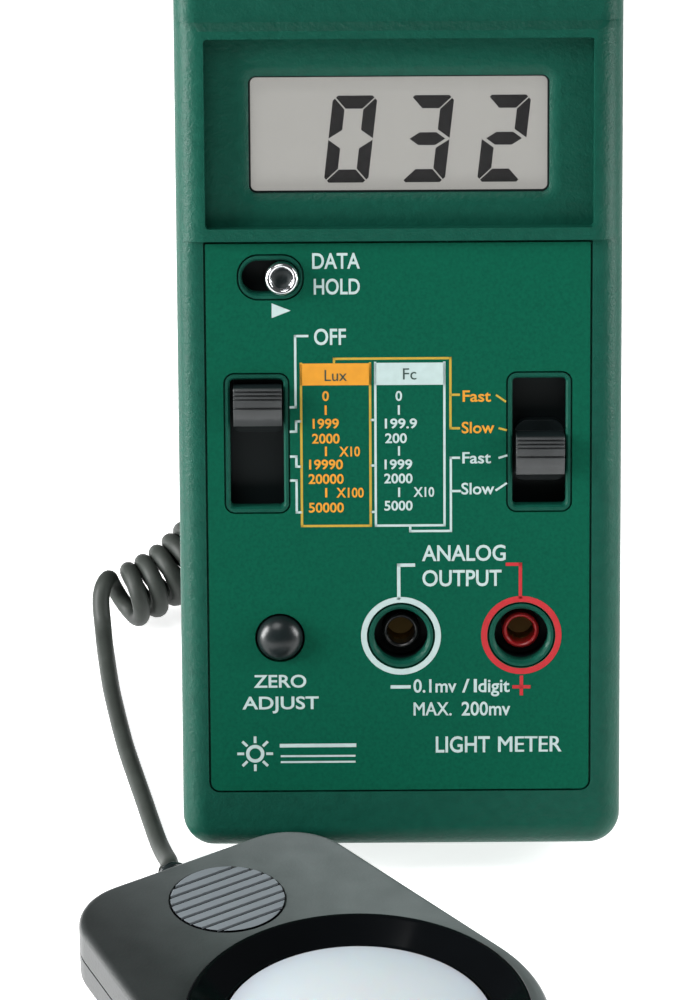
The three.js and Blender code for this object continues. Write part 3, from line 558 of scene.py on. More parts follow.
# ---- Cord -----------------------------------------------------------------------------------------------
# The lead out of the case's top end, the line that the curly part is wound about, and the tail to the head.
LEAD_ROUTE = [
    (-13.8, 68.75, 191.6), (-13.8, 70.5, 197.2), (-13.8, 73.2, 203.6), (-13.8, 78.3, 208.9),
    (-13.8, 85.4, 211.3), (-13.8, 92.6, 209), (-13.8, 97.3, 203.2), (-13.8, 99.4, 196), (-13.8, 99.9, 189.3),
]
COIL_ROUTE = [
    (-13.8, 100, 188.9), (-13.8, 100, 160), (-13.8, 100, 120), (-13.8, 100, 80), (-13.8, 100, 45),
    (-13.9, 99.5, 33), (-15.2, 96.5, 22.5), (-18.5, 89, 15.5), (-24.3, 80.5, 10.9), (-30.5, 76, 7.4),
    (-36.7, 73.1, 5.4),
]
TAIL_ROUTE = [
    (-38.8, 74.15, 8.85), (-39.3, 73.1, 8.65), (-39.75, 72.15, 7.8), (-39.9, 71.3, 6.6), (-39.8, 70.2, 5.1),
    (-39.6, 69, 3.7), (-39.1, 64.5, 1.9), (-38.1, 55.8, 1.4), (-37.2, 49.2, 1.4), (-35.1, 36.6, 1.4),
    (-33.2, 27.5, 1.4), (-31.6, 20.2, 1.4), (-30.1, 12.9, 1.6), (-28.9, 7.3, 1.9), (-27.9, 3, 2.7),
    (-27.2, -0.6, 3.9), (-27.1, -3.2, 4.8), (-27.4, -4.9, 5),
]
TABLE_PITCH = 3.15
TABLE_STRETCH = 12  # the height below which the coil lies rather than hangs
HANGING_PITCH = 3.25
COIL_START = 10  # the stretch over which the lead spreads out into the coil
START_PITCH = 14  # how much longer the first turn of that stretch is
COIL_END_ANGLE = math.radians(320)
TURN_STEPS = 18
AXIS_STEP = 0.1


def through(route, spacing):
    """Points at an even spacing along a smooth curve through the route's points."""
    route = [Vector(p) for p in route]
    ends = [2 * route[0] - route[1], *route, 2 * route[-1] - route[-2]]
    fine = []
    for a, b, c, d in zip(ends, ends[1:], ends[2:], ends[3:]):
        for i in range(60):
            t = i / 60
            fine.append(0.5 * (
                2 * b + (c - a) * t + (2 * a - 5 * b + 4 * c - d) * t ** 2 + (3 * b - a - 3 * c + d) * t ** 3
            ))
    fine.append(route[-1])
    made = [fine[0]]
    left = spacing
    for before, after in zip(fine, fine[1:]):
        step = (after - before).length
        reached = 0.0
        while step - reached >= left:
            reached += left
            made.append(before.lerp(after, reached / step))
            left = spacing
        left -= step - reached
    if left < 0.5 * spacing:
        made.append(fine[-1])
    else:
        made[-1] = fine[-1]
    return made


def curly(route):
    """The helix about the route. Each turn goes over the top towards the front as it nears the sensor."""
    axis = through(route, AXIS_STEP)
    up = Vector((0, 0, 1))
    frames = []
    for i in range(len(axis) - 1, 0, -1):
        tangent = (axis[i] - axis[i - 1]).normalized()
        up = (up - up.dot(tangent) * tangent).normalized()
        frames.append((axis[i], tangent, up))
    angle = COIL_END_ANGLE
    points = []
    since = 0.0
    total = len(frames) * AXIS_STEP
    for step, (centre, tangent, up_here) in enumerate(frames):
        gone = step * AXIS_STEP
        grow = min(1.0, (total - gone) / COIL_START)
        pitch = (TABLE_PITCH if centre.z < TABLE_STRETCH else HANGING_PITCH) + START_PITCH * (1 - grow)
        turn = AXIS_STEP / pitch * 2 * math.pi
        if since <= 0:
            radius = COIL_CENTRE_RADIUS * math.sin(grow * math.pi / 2)
            front = up_here.cross(tangent)
            points.append(centre + radius * (math.cos(angle) * up_here + math.sin(angle) * front))
            since += 2 * math.pi / TURN_STEPS
        angle -= turn
        since -= turn
    return points[::-1]


def add_cord():
    lead = through(LEAD_ROUTE, 2.0)
    coil = curly(COIL_ROUTE)
    tail = through(TAIL_ROUTE, 1.5)
    line = lead[:-1] + coil + tail
    data = bpy.data.curves.new("curly_cord", "CURVE")
    data.dimensions = "3D"
    data.bevel_depth = CORD_DIAMETER / 2 * MM
    data.bevel_resolution = 5
    data.use_fill_caps = True
    spline = data.splines.new("NURBS")
    spline.points.add(len(line) - 1)
    for point, place in zip(spline.points, line):
        point.co = (*(place * MM), 1)
    spline.order_u = 4
    spline.resolution_u = 2
    spline.use_endpoint_u = True
    data.materials.append(LOOKS["cord_black"])
    obj = linked("curly_cord", data)
    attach(obj, "meter")
    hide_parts("cord_lead", "cord_coil", "cord_tail")
    return obj


# ---- Case -----------------------------------------------------------------------------------------------
def case_outline():
    return rect(-CASE["half"], 0, CASE["half"], CASE["length"], CASE["corner"], steps=12)


def cavity(y0, y1):
    half = CASE["half"] - WALL
    return slab(rect(-half, WALL, half, CASE["length"] - WALL, CASE["corner"] - WALL), y0, y1)


def slot_rect(x, z, width, length, radius, high=None):
    return rect(x - width / 2, z - length / 2, x + width / 2, z + length / 2, radius, high)


def slot_outlines():
    """The openings of the two long switch slots and of the hold switch's."""
    made = [slot_rect(x, SLOT_Z, SLOT["width"], SLOT["length"], 0.6) for x in (RANGE_X, UNIT_X)]
    made.append(slot_rect(HOLD["x"], HOLD["z"], HOLD["length"], HOLD["width"], HOLD["width"] / 2 - 0.02))
    return made


def control_holes(y0, y1):
    made = [slab(outline, y0, y1) for outline in slot_outlines()]
    made.append(rod(ZERO["x"], ZERO["z"], ZERO["hole"], y0, y1))
    made += [rod(x, JACK_Z, JACK["hole"], y0, y1) for x in JACK_X]
    return made


def mouth_chamfers():
    """The slanted mouths of the switch slots and jack wells."""
    made = [layered(outline, [(-0.55, -0.3), (-0.3, -0.05), (0, 0.35)]) for outline in slot_outlines()]
    for x in JACK_X:
        r = JACK["hole"]
        made.append(turned([(0, -0.4), (r + 0.55, -0.4), (r + 0.4, -0.02), (r, 0.45), (0, 0.45)], x, JACK_Z))
    return made


def rim_islands(extra, y0, y1):
    """What stands up to the panel's level round each slot and jack."""
    grow = 2 * extra
    made = [
        slab(slot_rect(x, SLOT_Z, SLOT["rim_width"] + grow, SLOT["rim_length"] + grow, 1.3 + extra), y0, y1)
        for x in (RANGE_X, UNIT_X)
    ]
    wide, tall = HOLD["rim_length"] + grow, HOLD["rim_width"] + grow
    made.append(slab(slot_rect(HOLD["x"], HOLD["z"], wide, tall, tall / 2 - 0.3), y0, y1))
    made += [rod(x, JACK_Z, JACK["rim"] + extra, y0, y1, 72) for x in JACK_X]
    return made


def front_section(half, front, radius, z, steps=14):
    """The case's front in section at height z, both of its front edges rounded."""
    points = arc(radius - half, front + radius, radius, 180, 270, steps)
    points += arc(half - radius, front + radius, radius, 270, 360, steps)
    points += [(half, FLOOR_BACK), (-half, FLOOR_BACK)]
    return [(x, y, z) for x, y in points]


def collar():
    """The raised collar wraps over the case's side edges and slopes down at its top."""
    rise, start = COLLAR["rise"], COLLAR["high"] - COLLAR["slope"]
    rings = [front_section(CASE["half"], -rise, COLLAR["round"], z) for z in (COLLAR["low"], start)]
    rings.append(front_section(CASE["half"] - 0.05, 0, FLOOR_BACK - 0.01, COLLAR["high"]))
    return lofted(rings)


def front_shell():
    shell = slab(case_outline(), 0, SPLIT - GAP / 2, CASE["front"], 0, steps=12)
    cut(shell, cavity(FRONT_WALL, SPLIT + 1))
    add(shell, collar())
    view = rect(-VIEW["half"], VIEW["low"], VIEW["half"], VIEW["high"], VIEW["corner"])
    funnel_back = RECESS["depth"] + FUNNEL_DEPTH
    reach = 1.5
    cut(
        shell,
        slab(rect(-RECESS["half"], RECESS["low"], RECESS["half"], RECESS["high"], 0.5), -3, RECESS["depth"]),
        layered(view, [
            (-VIEW_SLOPE * (1 + reach), RECESS["depth"] - reach * FUNNEL_DEPTH), (0, funnel_back),
            (0, FLOOR_BACK + 2),
        ]),
    )
    panel_edge = rect(PANEL["left"], PANEL["low"], PANEL["right"], PANEL["high"], PANEL["corner"], 0.2)
    panel_recess = slab(panel_edge, -3, PANEL["recess"])
    cut(panel_recess, *rim_islands(0, -4, PANEL["recess"] + 1))
    cut(shell, panel_recess, *control_holes(-3, FRONT_WALL + 1), *mouth_chamfers())
    add(shell, *[rod(x, z, 3, FRONT_WALL - 0.4, SPLIT - GAP / 2) for x, z in SCREWS])
    cut(shell, *[rod(x, z, 1.3, 4.4, SPLIT + 1, 24) for x, z in SCREWS], end_hole(3.3))
    piece(shell, "front_shell_fine", "case_green", IN_CASE, stands_for=["front_shell"], edge=0.14)


def end_hole(radius):
    return moved(lathe(round_bar(radius, -6, 6), 48), Matrix.Translation((GLAND_X, SPLIT, CASE["length"])))


def door_profile(extra, low, high):
    """The sliding battery door's dovetail, run along the case."""
    inner, outer = 14.5 + extra, 13.6 + extra
    front, back = 23.1 - extra, CASE["depth"] + 4 * extra
    section = [(-inner, front), (inner, front), (outer, back), (-outer, back)]
    return layered(lambda inset: section, [(0, low - extra), (0, high)], upright=True)


def cross_rod(x0, x1, y, z, radius):
    place = Matrix.Translation((0, y, z)) @ Matrix.Rotation(math.pi / 2, 4, "Y")
    return moved(lathe(round_bar(radius, x0, x1), 32), place)


def rear_shell():
    depth = CASE["depth"]
    shell = slab(case_outline(), SPLIT + GAP / 2, depth, 0, CASE["back"], steps=8)
    cut(shell, cavity(SPLIT - 1, depth - WALL))
    add(
        shell,
        block(-23.7, 23.7, 19, depth - 1, 1.9, 122.2),
        block(-18, 18, 21.3, depth - 1, 126, CASE["length"] - 1),
        block(-16, 16, SPLIT + 0.5, depth - 1, 127.4, 128.9),
        block(-15.6, -14.2, SPLIT + 0.5, depth - 1, 128, 176),
        block(14.2, 15.6, SPLIT + 0.5, depth - 1, 128, 176),
        *[rod(x, z, 3, SPLIT + GAP / 2, depth - 1) for x, z in SCREWS],
    )
    cut(
        shell,
        *[rod(x, z, 1.3, SPLIT - 1, depth, 24) for x, z in SCREWS],
        *[rod(x, z, 2.6, 21, depth + 1, 32) for x, z in SCREWS],
        block(-21.5, 21.5, 20.8, depth + 1, 3.9, 120.2),
        cross_rod(-23.4, 23.4, *STAND_AXIS, 1),
        rod(22.5, 30, 6, 22.4, depth + 1),
        door_profile(GAP, 128, CASE["length"] + 4),
        block(-13.8, 13.8, 20.3, depth, 130, 181),
        end_hole(3.3),
    )
    piece(shell, "rear_shell_fine", "case_green", IN_CASE, stands_for=["rear_shell"], edge=0.14)


def front_panel():
    inset = GAP
    outline = rect(
        PANEL["left"] + inset, PANEL["low"] + inset, PANEL["right"] - inset, PANEL["high"] - inset,
        PANEL["corner"] - inset, 0.2,
    )
    plate = slab(outline, 0, PANEL["thickness"])
    cut(plate, *rim_islands(0.25, -1, 2), rod(ZERO["x"], ZERO["z"], ZERO["hole"], -1, 2))
    piece(plate, "front_panel_fine", "panel_green", IN_CASE, stands_for=["front_panel"], edge=0.07)


def battery_door():
    top = CASE["length"] - CASE["back"]
    door = keep(door_profile(0, 128, top + 2), block(-30, 30, 0, CASE["depth"], 0, top))
    for i in range(5):
        z = 166 + 2.4 * i
        cut(door, block(-6, 6, 24, CASE["depth"] + 1, z, z + 1.1))
    cut(door, flat([(-2.4, 159), (2.4, 159), (0, 163)], 24.1, CASE["depth"] + 1))
    piece(door, "battery_door_fine", "case_green", IN_CASE, "door", ["battery_door"], edge=0.12)


def cord_gland():
    """Strain relief at the top end: a flange and a ribbed taper."""
    profile = [[1.6, -3.5], [4.6, -3.5], [4.6, -2.5], [3, -2.5], [3, 0.3], [4.4, 0.3], [4.4, 1.8], [3.4, 2.3]]
    for rib in range(5):
        z = 2.5 + 1.25 * rib
        radius = 3.25 - 0.17 * rib
        groove = radius - 0.55
        profile += [[radius, z], [radius - 0.08, z + 0.75], [groove, z + 0.85], [groove, z + 1.15]]
    profile += [[2.1, 9.0], [1.6, 9.0], [1.6, -3.5]]
    body = moved(lathe(profile, 64), Matrix.Translation((GLAND_X, SPLIT, CASE["length"])))
    piece(body, "cord_gland_fine", "soft_black", IN_CASE, stands_for=["cord_gland"], edge=0.08)


def tilt_stand():
    hinge = Matrix.Translation((0, *STAND_AXIS)) @ Matrix.Rotation(STAND_OPEN, 4, "X")
    slant = STAND_OPEN - LEAN
    lift = (CASE["depth"] - CASE["back"]) * math.sin(LEAN) - CASE["back"] * math.cos(LEAN) + CASE["back"]
    axis_height = STAND_AXIS[1] * math.cos(LEAN) - STAND_AXIS[0] * math.sin(LEAN) + lift
    length = (axis_height - 0.7 * math.sin(slant)) / math.cos(slant)
    plate = slab(rect(-20.5, -length, 20.5, 0, 6, 0.6), -1.2, 1.2, 0.5, 0.5, steps=4)
    cut(plate, slab(rect(-7.5, 22 - length, 7.5, -24, 5), -3, 3))
    add(plate, cross_rod(-20.5, 20.5, 0, 0, 1.5))
    cut(plate, cross_rod(-22.5, 22.5, 0, 0, 1))
    for side in (-14, 14):
        for i in range(4):
            z = 12 - length + 2.4 * i
            cut(plate, slab(rect(side - 4, z, side + 4, z + 1, 0.45), 0.95, 2))
    piece(plate, "tilt_stand_fine", "case_green", IN_CASE @ hinge, "stand", ["tilt_stand"], edge=0.1)


# ---- Controls -------------------------------------------------------------------------------------------
def paint(obj, look, chosen):
    """Gives a second look to the faces whose middle is chosen."""
    obj.data.materials.append(LOOKS[look])
    for polygon in obj.data.polygons:
        if chosen(polygon.center):
            polygon.material_index = 1


def black_where(obj, origin, chosen):
    """Blackens the faces chosen by their depth behind the origin and their distance from its axis."""
    start = IN_CASE @ Vector(origin)

    def dark(centre):
        away = centre - start
        deep = away.dot(case_into)
        return chosen(deep / MM, (away - deep * case_into).length / MM)

    paint(obj, "black_plastic", dark)


def slide_knob(name, slot_x, z, body):
    """A slide knob: a flat base behind the slot, and a grip whose upper half is ribbed."""
    x = slot_x + KNOB["shift"]
    base = slab(slot_rect(x, z, KNOB["base_width"], KNOB["base"], 1.2, 1.9), 2.7, 4.8)
    half = KNOB["length"] / 2
    front = -KNOB["proud"]
    side = [(3, -half), (front + 1.2, -half), (front + 0.95, 0.4 - half), (front + 0.62, -1.95)]
    side += [(front + 0.4, -1.4), (front + 0.3, -0.3), (front + 0.65, -0.2), (front + 0.65, -0.02)]
    side += [(front + 0.15, 0.08), (front + 0.1, 1.05)]
    for rib in range(3):
        low = 1.15 + 0.57 * rib
        side += [(front + 0.4, low), (front + 0.4, low + 0.12), (front, low + 0.22), (front, low + 0.47)]
    side += [(front + 0.3, half), (3, half)]
    grip = layered(lambda inset: side, [(0, -KNOB["width"] / 2), (0, KNOB["width"] / 2)], upright=True)
    # The outline's first axis becomes depth, its second height, and its thickness runs across.
    grip.data.transform(Matrix(((0, 0, 1, x), (1, 0, 0, 0), (0, 1, 0, z), (0, 0, 0, 1))))
    add(base, grip)
    knob = piece(base, f"{name}_fine", "knob_grey", IN_CASE, body, [name], edge=0.1, segments=3)
    black_where(knob, (x, 0, z), lambda deep, away: deep > -0.6)


def hold_knob():
    r, stem, top = 2.45, 2.1, -1.7
    profile = softened([
        (0, top + 0.95), (0.8, top + 0.85), (1.4, top + 0.5), (1.75, top + 0.08), (2.05, top), (r, top + 0.4),
        (r, -0.35), (stem, -0.35), (stem, 2.2), (1.4, 2.6), (1.4, 4.2), (0, 4.2),
    ], 0.3)
    knob = turned(profile, HOLD["knob_x"], HOLD["z"], 64)
    obj = piece(knob, "hold_switch_knob_fine", "chrome", IN_CASE, "hold_knob", ["hold_switch_knob"])
    black_where(obj, (HOLD["knob_x"], 0, HOLD["z"]), lambda deep, away: deep < 0 and away < 1.45)


def zero_knob():
    r, top = ZERO["radius"], -ZERO["proud"]
    steps = 14
    profile = [(0, top)]
    for i in range(1, steps + 1):
        a = i / steps * math.pi / 2
        profile.append((r * math.sin(a), top + (1 - math.cos(a)) * 2.4))
    profile += [(r, 3.2), (2, 3.6), (2, 5.6), (0, 5.6)]
    knob = turned(profile, ZERO["x"], ZERO["z"], 72)
    piece(knob, "zero_knob_fine", "soft_black", IN_CASE, "zero_trim", ["zero_knob"])


def jack(name, x, look):
    """A banana jack: a tube that stands in a well, with a brass sleeve inside. The well's faces are painted
    black as shade for its depth.
    """
    tube, bore, front, floor, end = (JACK[k] for k in ("tube", "bore", "front", "floor", "end"))
    cup = JACK["hole"] + 0.17
    insulator = turned(softened([
        (bore + 0.1, front + 0.2), (tube - 0.4, front), (tube, front + 0.3), (tube, floor), (cup, floor),
        (cup, 2.7), (cup + 0.9, 2.7), (cup + 0.9, end), (3, end), (3, floor + 0.6), (bore, floor + 0.6),
        (bore, front + 0.6), (bore + 0.1, front + 0.2),
    ], 0.15), x, JACK_Z)
    made = piece(insulator, f"{name}_insulator_fine", look, IN_CASE, stands_for=[f"{name}_insulator"])
    # Painted shade: the faces deep in the well, outside the tube, are given black plastic for the dark of the
    # deep well.
    black_where(made, (x, 0, JACK_Z), lambda deep, away: deep > 0 and away > tube + 0.05)
    sleeve_profile = [(2.05, 6.8), (2.6, 6.8), (2.6, end), (0, end), (0, 9.9), (2.05, 9.9), (2.05, 6.8)]
    sleeve = turned(sleeve_profile, x, JACK_Z)
    piece(sleeve, f"{name}_contact_fine", "brass", IN_CASE, stands_for=[f"{name}_contact"], edge=0.05)


# ---- Display --------------------------------------------------------------------------------------------
DIGIT = {"width": 6.4, "height": 12.65, "upright": 1.85, "bar": 1.9, "pitch": 11.07, "x": -10.88, "z": 98.56}
SEGMENTS = {"0": "abcdef", "3": "abcdg", "2": "abdeg"}
DIGIT_SLANT = math.tan(math.radians(6.6))


def segment_outlines():
    """The seven segments of a digit whose lower left corner is the origin, before it is slanted."""
    w, h, v, t = DIGIT["width"], DIGIT["height"], DIGIT["upright"], DIGIT["bar"]
    gap = 0.13
    chop = 0.3
    middle = h / 2
    top = [
        (gap + 2 * chop, h), (w - gap - 2 * chop, h), (w - gap - chop, h - chop), (w - v - gap, h - t),
        (v + gap, h - t), (gap + chop, h - chop),
    ]
    right = [
        (w, h - gap - 2 * chop), (w, middle + 0.1), (w - v, middle + 0.1 + 0.675 * v), (w - v, h - t - gap),
        (w - chop, h - gap - chop),
    ]
    across = [
        (0.62, middle), (1.99, middle + 0.93), (w - 1.99, middle + 0.93), (w - 0.62, middle),
        (w - 1.99, middle - 0.93), (1.99, middle - 0.93),
    ]

    def flipped(points, left=False, low=False):
        return [(w - x if left else x, h - z if low else z) for x, z in points]

    return {
        "a": top, "b": right, "c": flipped(right, low=True), "d": flipped(top, low=True),
        "e": flipped(right, True, True), "f": flipped(right, True), "g": across,
    }


def joined(shapes):
    """Several separate solids as one object."""
    whole = bmesh.new()
    for shape in shapes:
        whole.from_mesh(shape.data)
        bpy.data.objects.remove(shape)
    mesh = bpy.data.meshes.new("solid")
    whole.to_mesh(mesh)
    whole.free()
    return linked("solid", mesh)


def display():
    outlines = segment_outlines()
    shapes = []
    for place, digit in enumerate("032"):
        for segment in SEGMENTS[digit]:
            points = [
                (DIGIT["x"] + place * DIGIT["pitch"] + x + z * DIGIT_SLANT, DIGIT["z"] + z)
                for x, z in outlines[segment]
            ]
            shapes.append(flat(points, GLASS_DEPTH - 0.06, GLASS_DEPTH + 0.02))
    piece(joined(shapes), "display_digits", INK["display"], IN_CASE)
    # A thin black frame just inside the window's edge: a painted shadow for the dark gap between the shell and
    # the display glass.
    half = VIEW["half"] + 0.1
    edge = rect(-half, VIEW["low"] - 0.1, half, VIEW["high"] + 0.1, VIEW["corner"])
    shadow_frame = slab(edge, FLOOR_BACK + 0.02, 3.66)
    inner = rect(-VIEW["half"], VIEW["low"], VIEW["half"], VIEW["high"], VIEW["corner"])
    cut(shadow_frame, layered(inner, [(0.28, 3), (0.28, 4)]))
    piece(shadow_frame, "window_painted_shadow_frame", "soft_black", IN_CASE)


# ---- Printing on the panel ------------------------------------------------------------------------------
PRINT_FRONT = -0.025
PRINT_BACK = 0.01
LINE = 0.34


def bar(x0, z0, x1, z1, width=LINE):
    """A printed line between two points, with square ends."""
    a, b = Vector((x0, z0)), Vector((x1, z1))
    along = (b - a).normalized() * width / 2
    side = Vector((-along.y, along.x))
    corners = [a - along - side, b + along - side, b + along + side, a - along + side]
    return flat([tuple(c) for c in corners], PRINT_FRONT, PRINT_BACK)


def path(*points, width=LINE):
    return [bar(*a, *b, width) for a, b in zip(points, points[1:])]


def patch(x0, z0, x1, z1):
    return block(x0, x1, PRINT_FRONT, PRINT_BACK, z0, z1)


def ring(x, z, inner, outer):
    corners = [(inner, PRINT_BACK), (inner, PRINT_FRONT), (outer, PRINT_FRONT), (outer, PRINT_BACK)]
    return turned([*corners, corners[0]], x, z, 96)


STRIKE_STEP = 0.004  # each strike of a letter lies this far in front of the one before, in the letters' units


def struck_thrice(mesh, reach):
    """The same flat letters three times, a little to either side, for an M whose outline can't be grown."""
    whole = bmesh.new()
    for layer, shift in enumerate((-reach, reach, 0)):
        start = len(whole.verts)
        whole.from_mesh(mesh)
        whole.verts.ensure_lookup_table()
        for vert in whole.verts[start:]:
            vert.co.x += shift
            vert.co.z += STRIKE_STEP * layer
    whole.to_mesh(mesh)
    whole.free()
    return mesh


def glyphs(text, bold):
    """The text as a flat mesh in its own plane, with the height of a capital and its own box."""
    data = bpy.data.curves.new("lettering", "FONT")
    data.body = text
    struck = "M" in text
    data.offset = 0 if struck else bold
    data.extrude = 0.01
    data.resolution_u = 4
    obj = linked("lettering", data)
    graph = bpy.context.evaluated_depsgraph_get()
    mesh = bpy.data.meshes.new_from_object(obj.evaluated_get(graph))
    bpy.data.objects.remove(obj)
    if struck:
        mesh = struck_thrice(mesh, bold)
    xs = [v.co.x for v in mesh.vertices]
    ys = [v.co.y for v in mesh.vertices]
    return mesh, (min(xs), max(xs)), (min(ys), max(ys))


def lettering(text, x0, x1, z, height, bold=0.016, front=PRINT_FRONT):
    """Text whose capitals stand on z and are that high, fitted between x0 and x1."""
    capital = glyphs("H", bold)[2]
    mesh, across, _ = glyphs(text, bold)
    tall = height / (capital[1] - capital[0])
    wide = (x1 - x0) / (across[1] - across[0])
    thick = (PRINT_BACK - front) / 0.02
    place = Matrix((
        (wide, 0, 0, x0 - wide * across[0]),
        (0, 0, -thick, (PRINT_BACK + front) / 2),
        (0, tall, 0, z - tall * capital[0]),
        (0, 0, 0, 1),
    ))
    mesh.transform(place)
    return linked("lettering", mesh)


LUX_BOX = (-14.35, 48.85, -4.35, 72.9)
FC_BOX = (-3.6, 48.85, 6.4, 72.95)
HEADER_LOW = 69.7


def scale_column(rows, centre):
    """A column of range values: (text, half width, baseline), and a short upright mark where text is '|'."""
    made = []
    for text, half, z in rows:
        if text == "|":
            made.append(bar(centre, z + 0.2, centre, z + 1.3, 0.3))
        else:
            made.append(lettering(text, centre - half, centre + half, z, 1.45, 0.02))
    return made


def box_lines(box):
    x0, z0, x1, z1 = box
    return path((x0, z1), (x0, z0), (x1, z0), (x1, z1))


def sun(x, z, radius):
    """A plain sun: a disc ring with eight rays."""
    made = [ring(x, z, radius * 0.62, radius)]
    near, far = radius * 1.35, radius * 1.8
    for i in range(8):
        a = math.pi / 4 * i
        c, s = math.cos(a), math.sin(a)
        made.append(bar(x + c * near, z + s * near, x + c * far, z + s * far, 0.4))
    return made


def printing():
    white = [
        lettering("DATA", -12.6, -5.72, 86.8, 2.3), lettering("HOLD", -12.4, -5.75, 83.05, 2.3),
        flat([(-18.5, 79.65), (-15.75, 80.72), (-18.5, 81.8)], PRINT_FRONT, PRINT_BACK),
        lettering("OFF", -12.42, -7.8, 75.65, 2.38),
        *path((-13.4, 76.98), (-15.15, 76.98), (-15.15, 66.5), (-15.85, 66.5)),
        *path((-14.5, 64.4), (-15.1, 64.4), (-15.1, 62.9), (-15.85, 62.9)),
        *path((-15.85, 59.2), (-15.1, 59.2), (-15.1, 57.7), (-14.5, 57.7)),
        *path((-15.85, 55.65), (-15.1, 55.65), (-15.1, 50.9), (-14.5, 50.9)),
        *box_lines(FC_BOX), patch(-3.75, HEADER_LOW, 6.55, 72.97),
        *scale_column([
            ("0", 0.48, 67.35), ("|", 0, 65.25), ("|", 0, 59.2), ("|", 0, 53.05),
        ], -0.2),
        lettering("199.9", -2.24, 2.43, 63.28, 1.45, 0.02), lettering("200", -2.2, 0.95, 61.1, 1.45, 0.02),
        lettering("1999", -2.3, 1.72, 57.22, 1.45, 0.02), lettering("2000", -2.36, 1.76, 55.13, 1.45, 0.02),
        lettering("5000", -2.36, 1.76, 51.08, 1.45, 0.02), lettering("X10", 1.9, 4.9, 53.1, 1.45, 0.02),
        *[bar(-4.2, z, -3.75, z) for z in (64.55, 57.8, 50.9)],
        *path((1.4, 48.7), (1.4, 48.0), (7.32, 48.0), (7.32, 58.88), (8.5, 58.88)),
        bar(7.4, 53.93, 8.6, 53.93),
        lettering("Fast", 9.0, 13.15, 58.02, 1.68), lettering("Slow", 8.85, 13.65, 53.42, 1.72),
        bar(14.4, 58.85, 15.4, 59.15, 0.3), bar(13.95, 54.05, 15.35, 55.0, 0.3),
        lettering("ANALOG", 3.1, 15.3, 43.5, 2.36), lettering("OUTPUT", 3.15, 14.7, 39.72, 2.42),
        *path((1.85, 42.92), (-0.3, 42.92), (-0.3, 38.0), width=0.5),
        ring(JACK_X[0], JACK_Z, 5.0, 5.85), bar(-1.3, 24.6, 1.15, 24.6, 0.5),
        lettering("0.1mv", 1.8, 8.1, 23.72, 2.0), lettering("/1", 8.93, 11.1, 23.72, 2.0),
        lettering("digit", 11.3, 15.9, 23.72, 2.0),
        lettering("MAX.", 1.8, 7.4, 20.2, 2.08), lettering("200mv", 8.85, 16.0, 20.2, 2.08),
        lettering("ZERO", -21.6, -13.9, 24.6, 1.92), lettering("ADJUST", -23.3, -12.1, 21.33, 1.92),
        lettering("LIGHT", 5.05, 13.0, 14.6, 2.44), lettering("METER", 14.2, 23.55, 14.6, 2.44),
        *sun(-21.5, 14.6, 1.35), *path((-17.6, 15.8), (-6.9, 15.8), width=0.55),
        *path((-17.6, 14.2), (-6.9, 14.2), width=0.28), *path((-17.6, 13.3), (-6.9, 13.3), width=0.28),
    ]
    yellow = [
        *box_lines(LUX_BOX), *path((-9.55, 73.0), (-9.55, 73.6), (7.28, 73.6), (7.28, 63.25), (8.5, 63.25)),
        bar(7.3, 68.2, 8.5, 68.2), bar(14.0, 68.05, 15.2, 67.2, 0.3), bar(14.4, 63.2, 15.3, 62.95, 0.3),
    ]
    amber = [
        patch(-14.52, HEADER_LOW, -4.18, 72.93),
        *scale_column([
            ("0", 0.48, 67.4), ("|", 0, 65.3), ("1999", 1.9, 63.32), ("2000", 2.0, 61.1), ("|", 0, 59.2),
            ("19990", 2.45, 57.27), ("20000", 2.55, 55.12), ("|", 0, 53.05), ("50000", 2.55, 50.86),
        ], -10.8),
        lettering("X10", -8.87, -5.86, 59.17, 1.45, 0.02), lettering("X100", -9.32, -5.34, 53.06, 1.45, 0.02),
        lettering("Fast", 9.05, 13.15, 67.15, 1.68), lettering("Slow", 8.9, 13.65, 62.5, 1.68),
    ]
    red = [
        ring(JACK_X[1], JACK_Z, 5.0, 5.88), *path((15.55, 42.95), (17.45, 42.95), (17.45, 38.0), width=0.5),
        bar(16.55, 24.5, 18.7, 24.5, 0.5), bar(17.62, 23.45, 17.62, 25.95, 0.5),
    ]
    above = 2 * PRINT_FRONT
    dark = [
        lettering("Lux", -10.93, -7.7, 70.35, 1.65, 0, above),
        lettering("Fc", 0.42, 2.36, 70.5, 1.65, 0, above),
    ]
    prints = {"white": white, "yellow": yellow, "amber": amber, "red": red, "dark": dark}
    for name, shapes in prints.items():
        piece(joined(shapes), f"panel_print_{name}", INK[name], IN_CASE)


# ---- Sensor head ----------------------------------------------------------------------------------------
def head_piece(obj, node, look, edge=0.0):
    """The fine piece of the sensor head that stands for that CAD node."""
    return piece(obj, f"{node}_fine", look, IN_HEAD, stands_for=[node], edge=edge)


def head_outline(inset=0.0):
    """A large round end and two rounded rear corners, joined by straight tangents."""
    front, corner = HEAD["round"] - inset, HEAD["corner"] - inset
    cx = HEAD["corner"] - HEAD["rear"]
    cy = HEAD["half"] - HEAD["corner"]
    tangent = math.degrees(math.atan2(cy, cx) - math.acos((front - corner) / math.hypot(cx, cy)))
    return (
        arc(0, 0, front, -tangent, tangent, 64)
        + arc(cx, cy, corner, tangent, 180, 16)
        + arc(cx, -cy, corner, 180, 360 - tangent, 16)
    )


def boot_hole():
    place = Matrix.Translation((1 - HEAD["rear"], 0, 5)) @ Matrix.Rotation(math.pi / 2, 4, "Y")
    return moved(lathe(round_bar(2.7, -2.5, 2.5), 32), place)


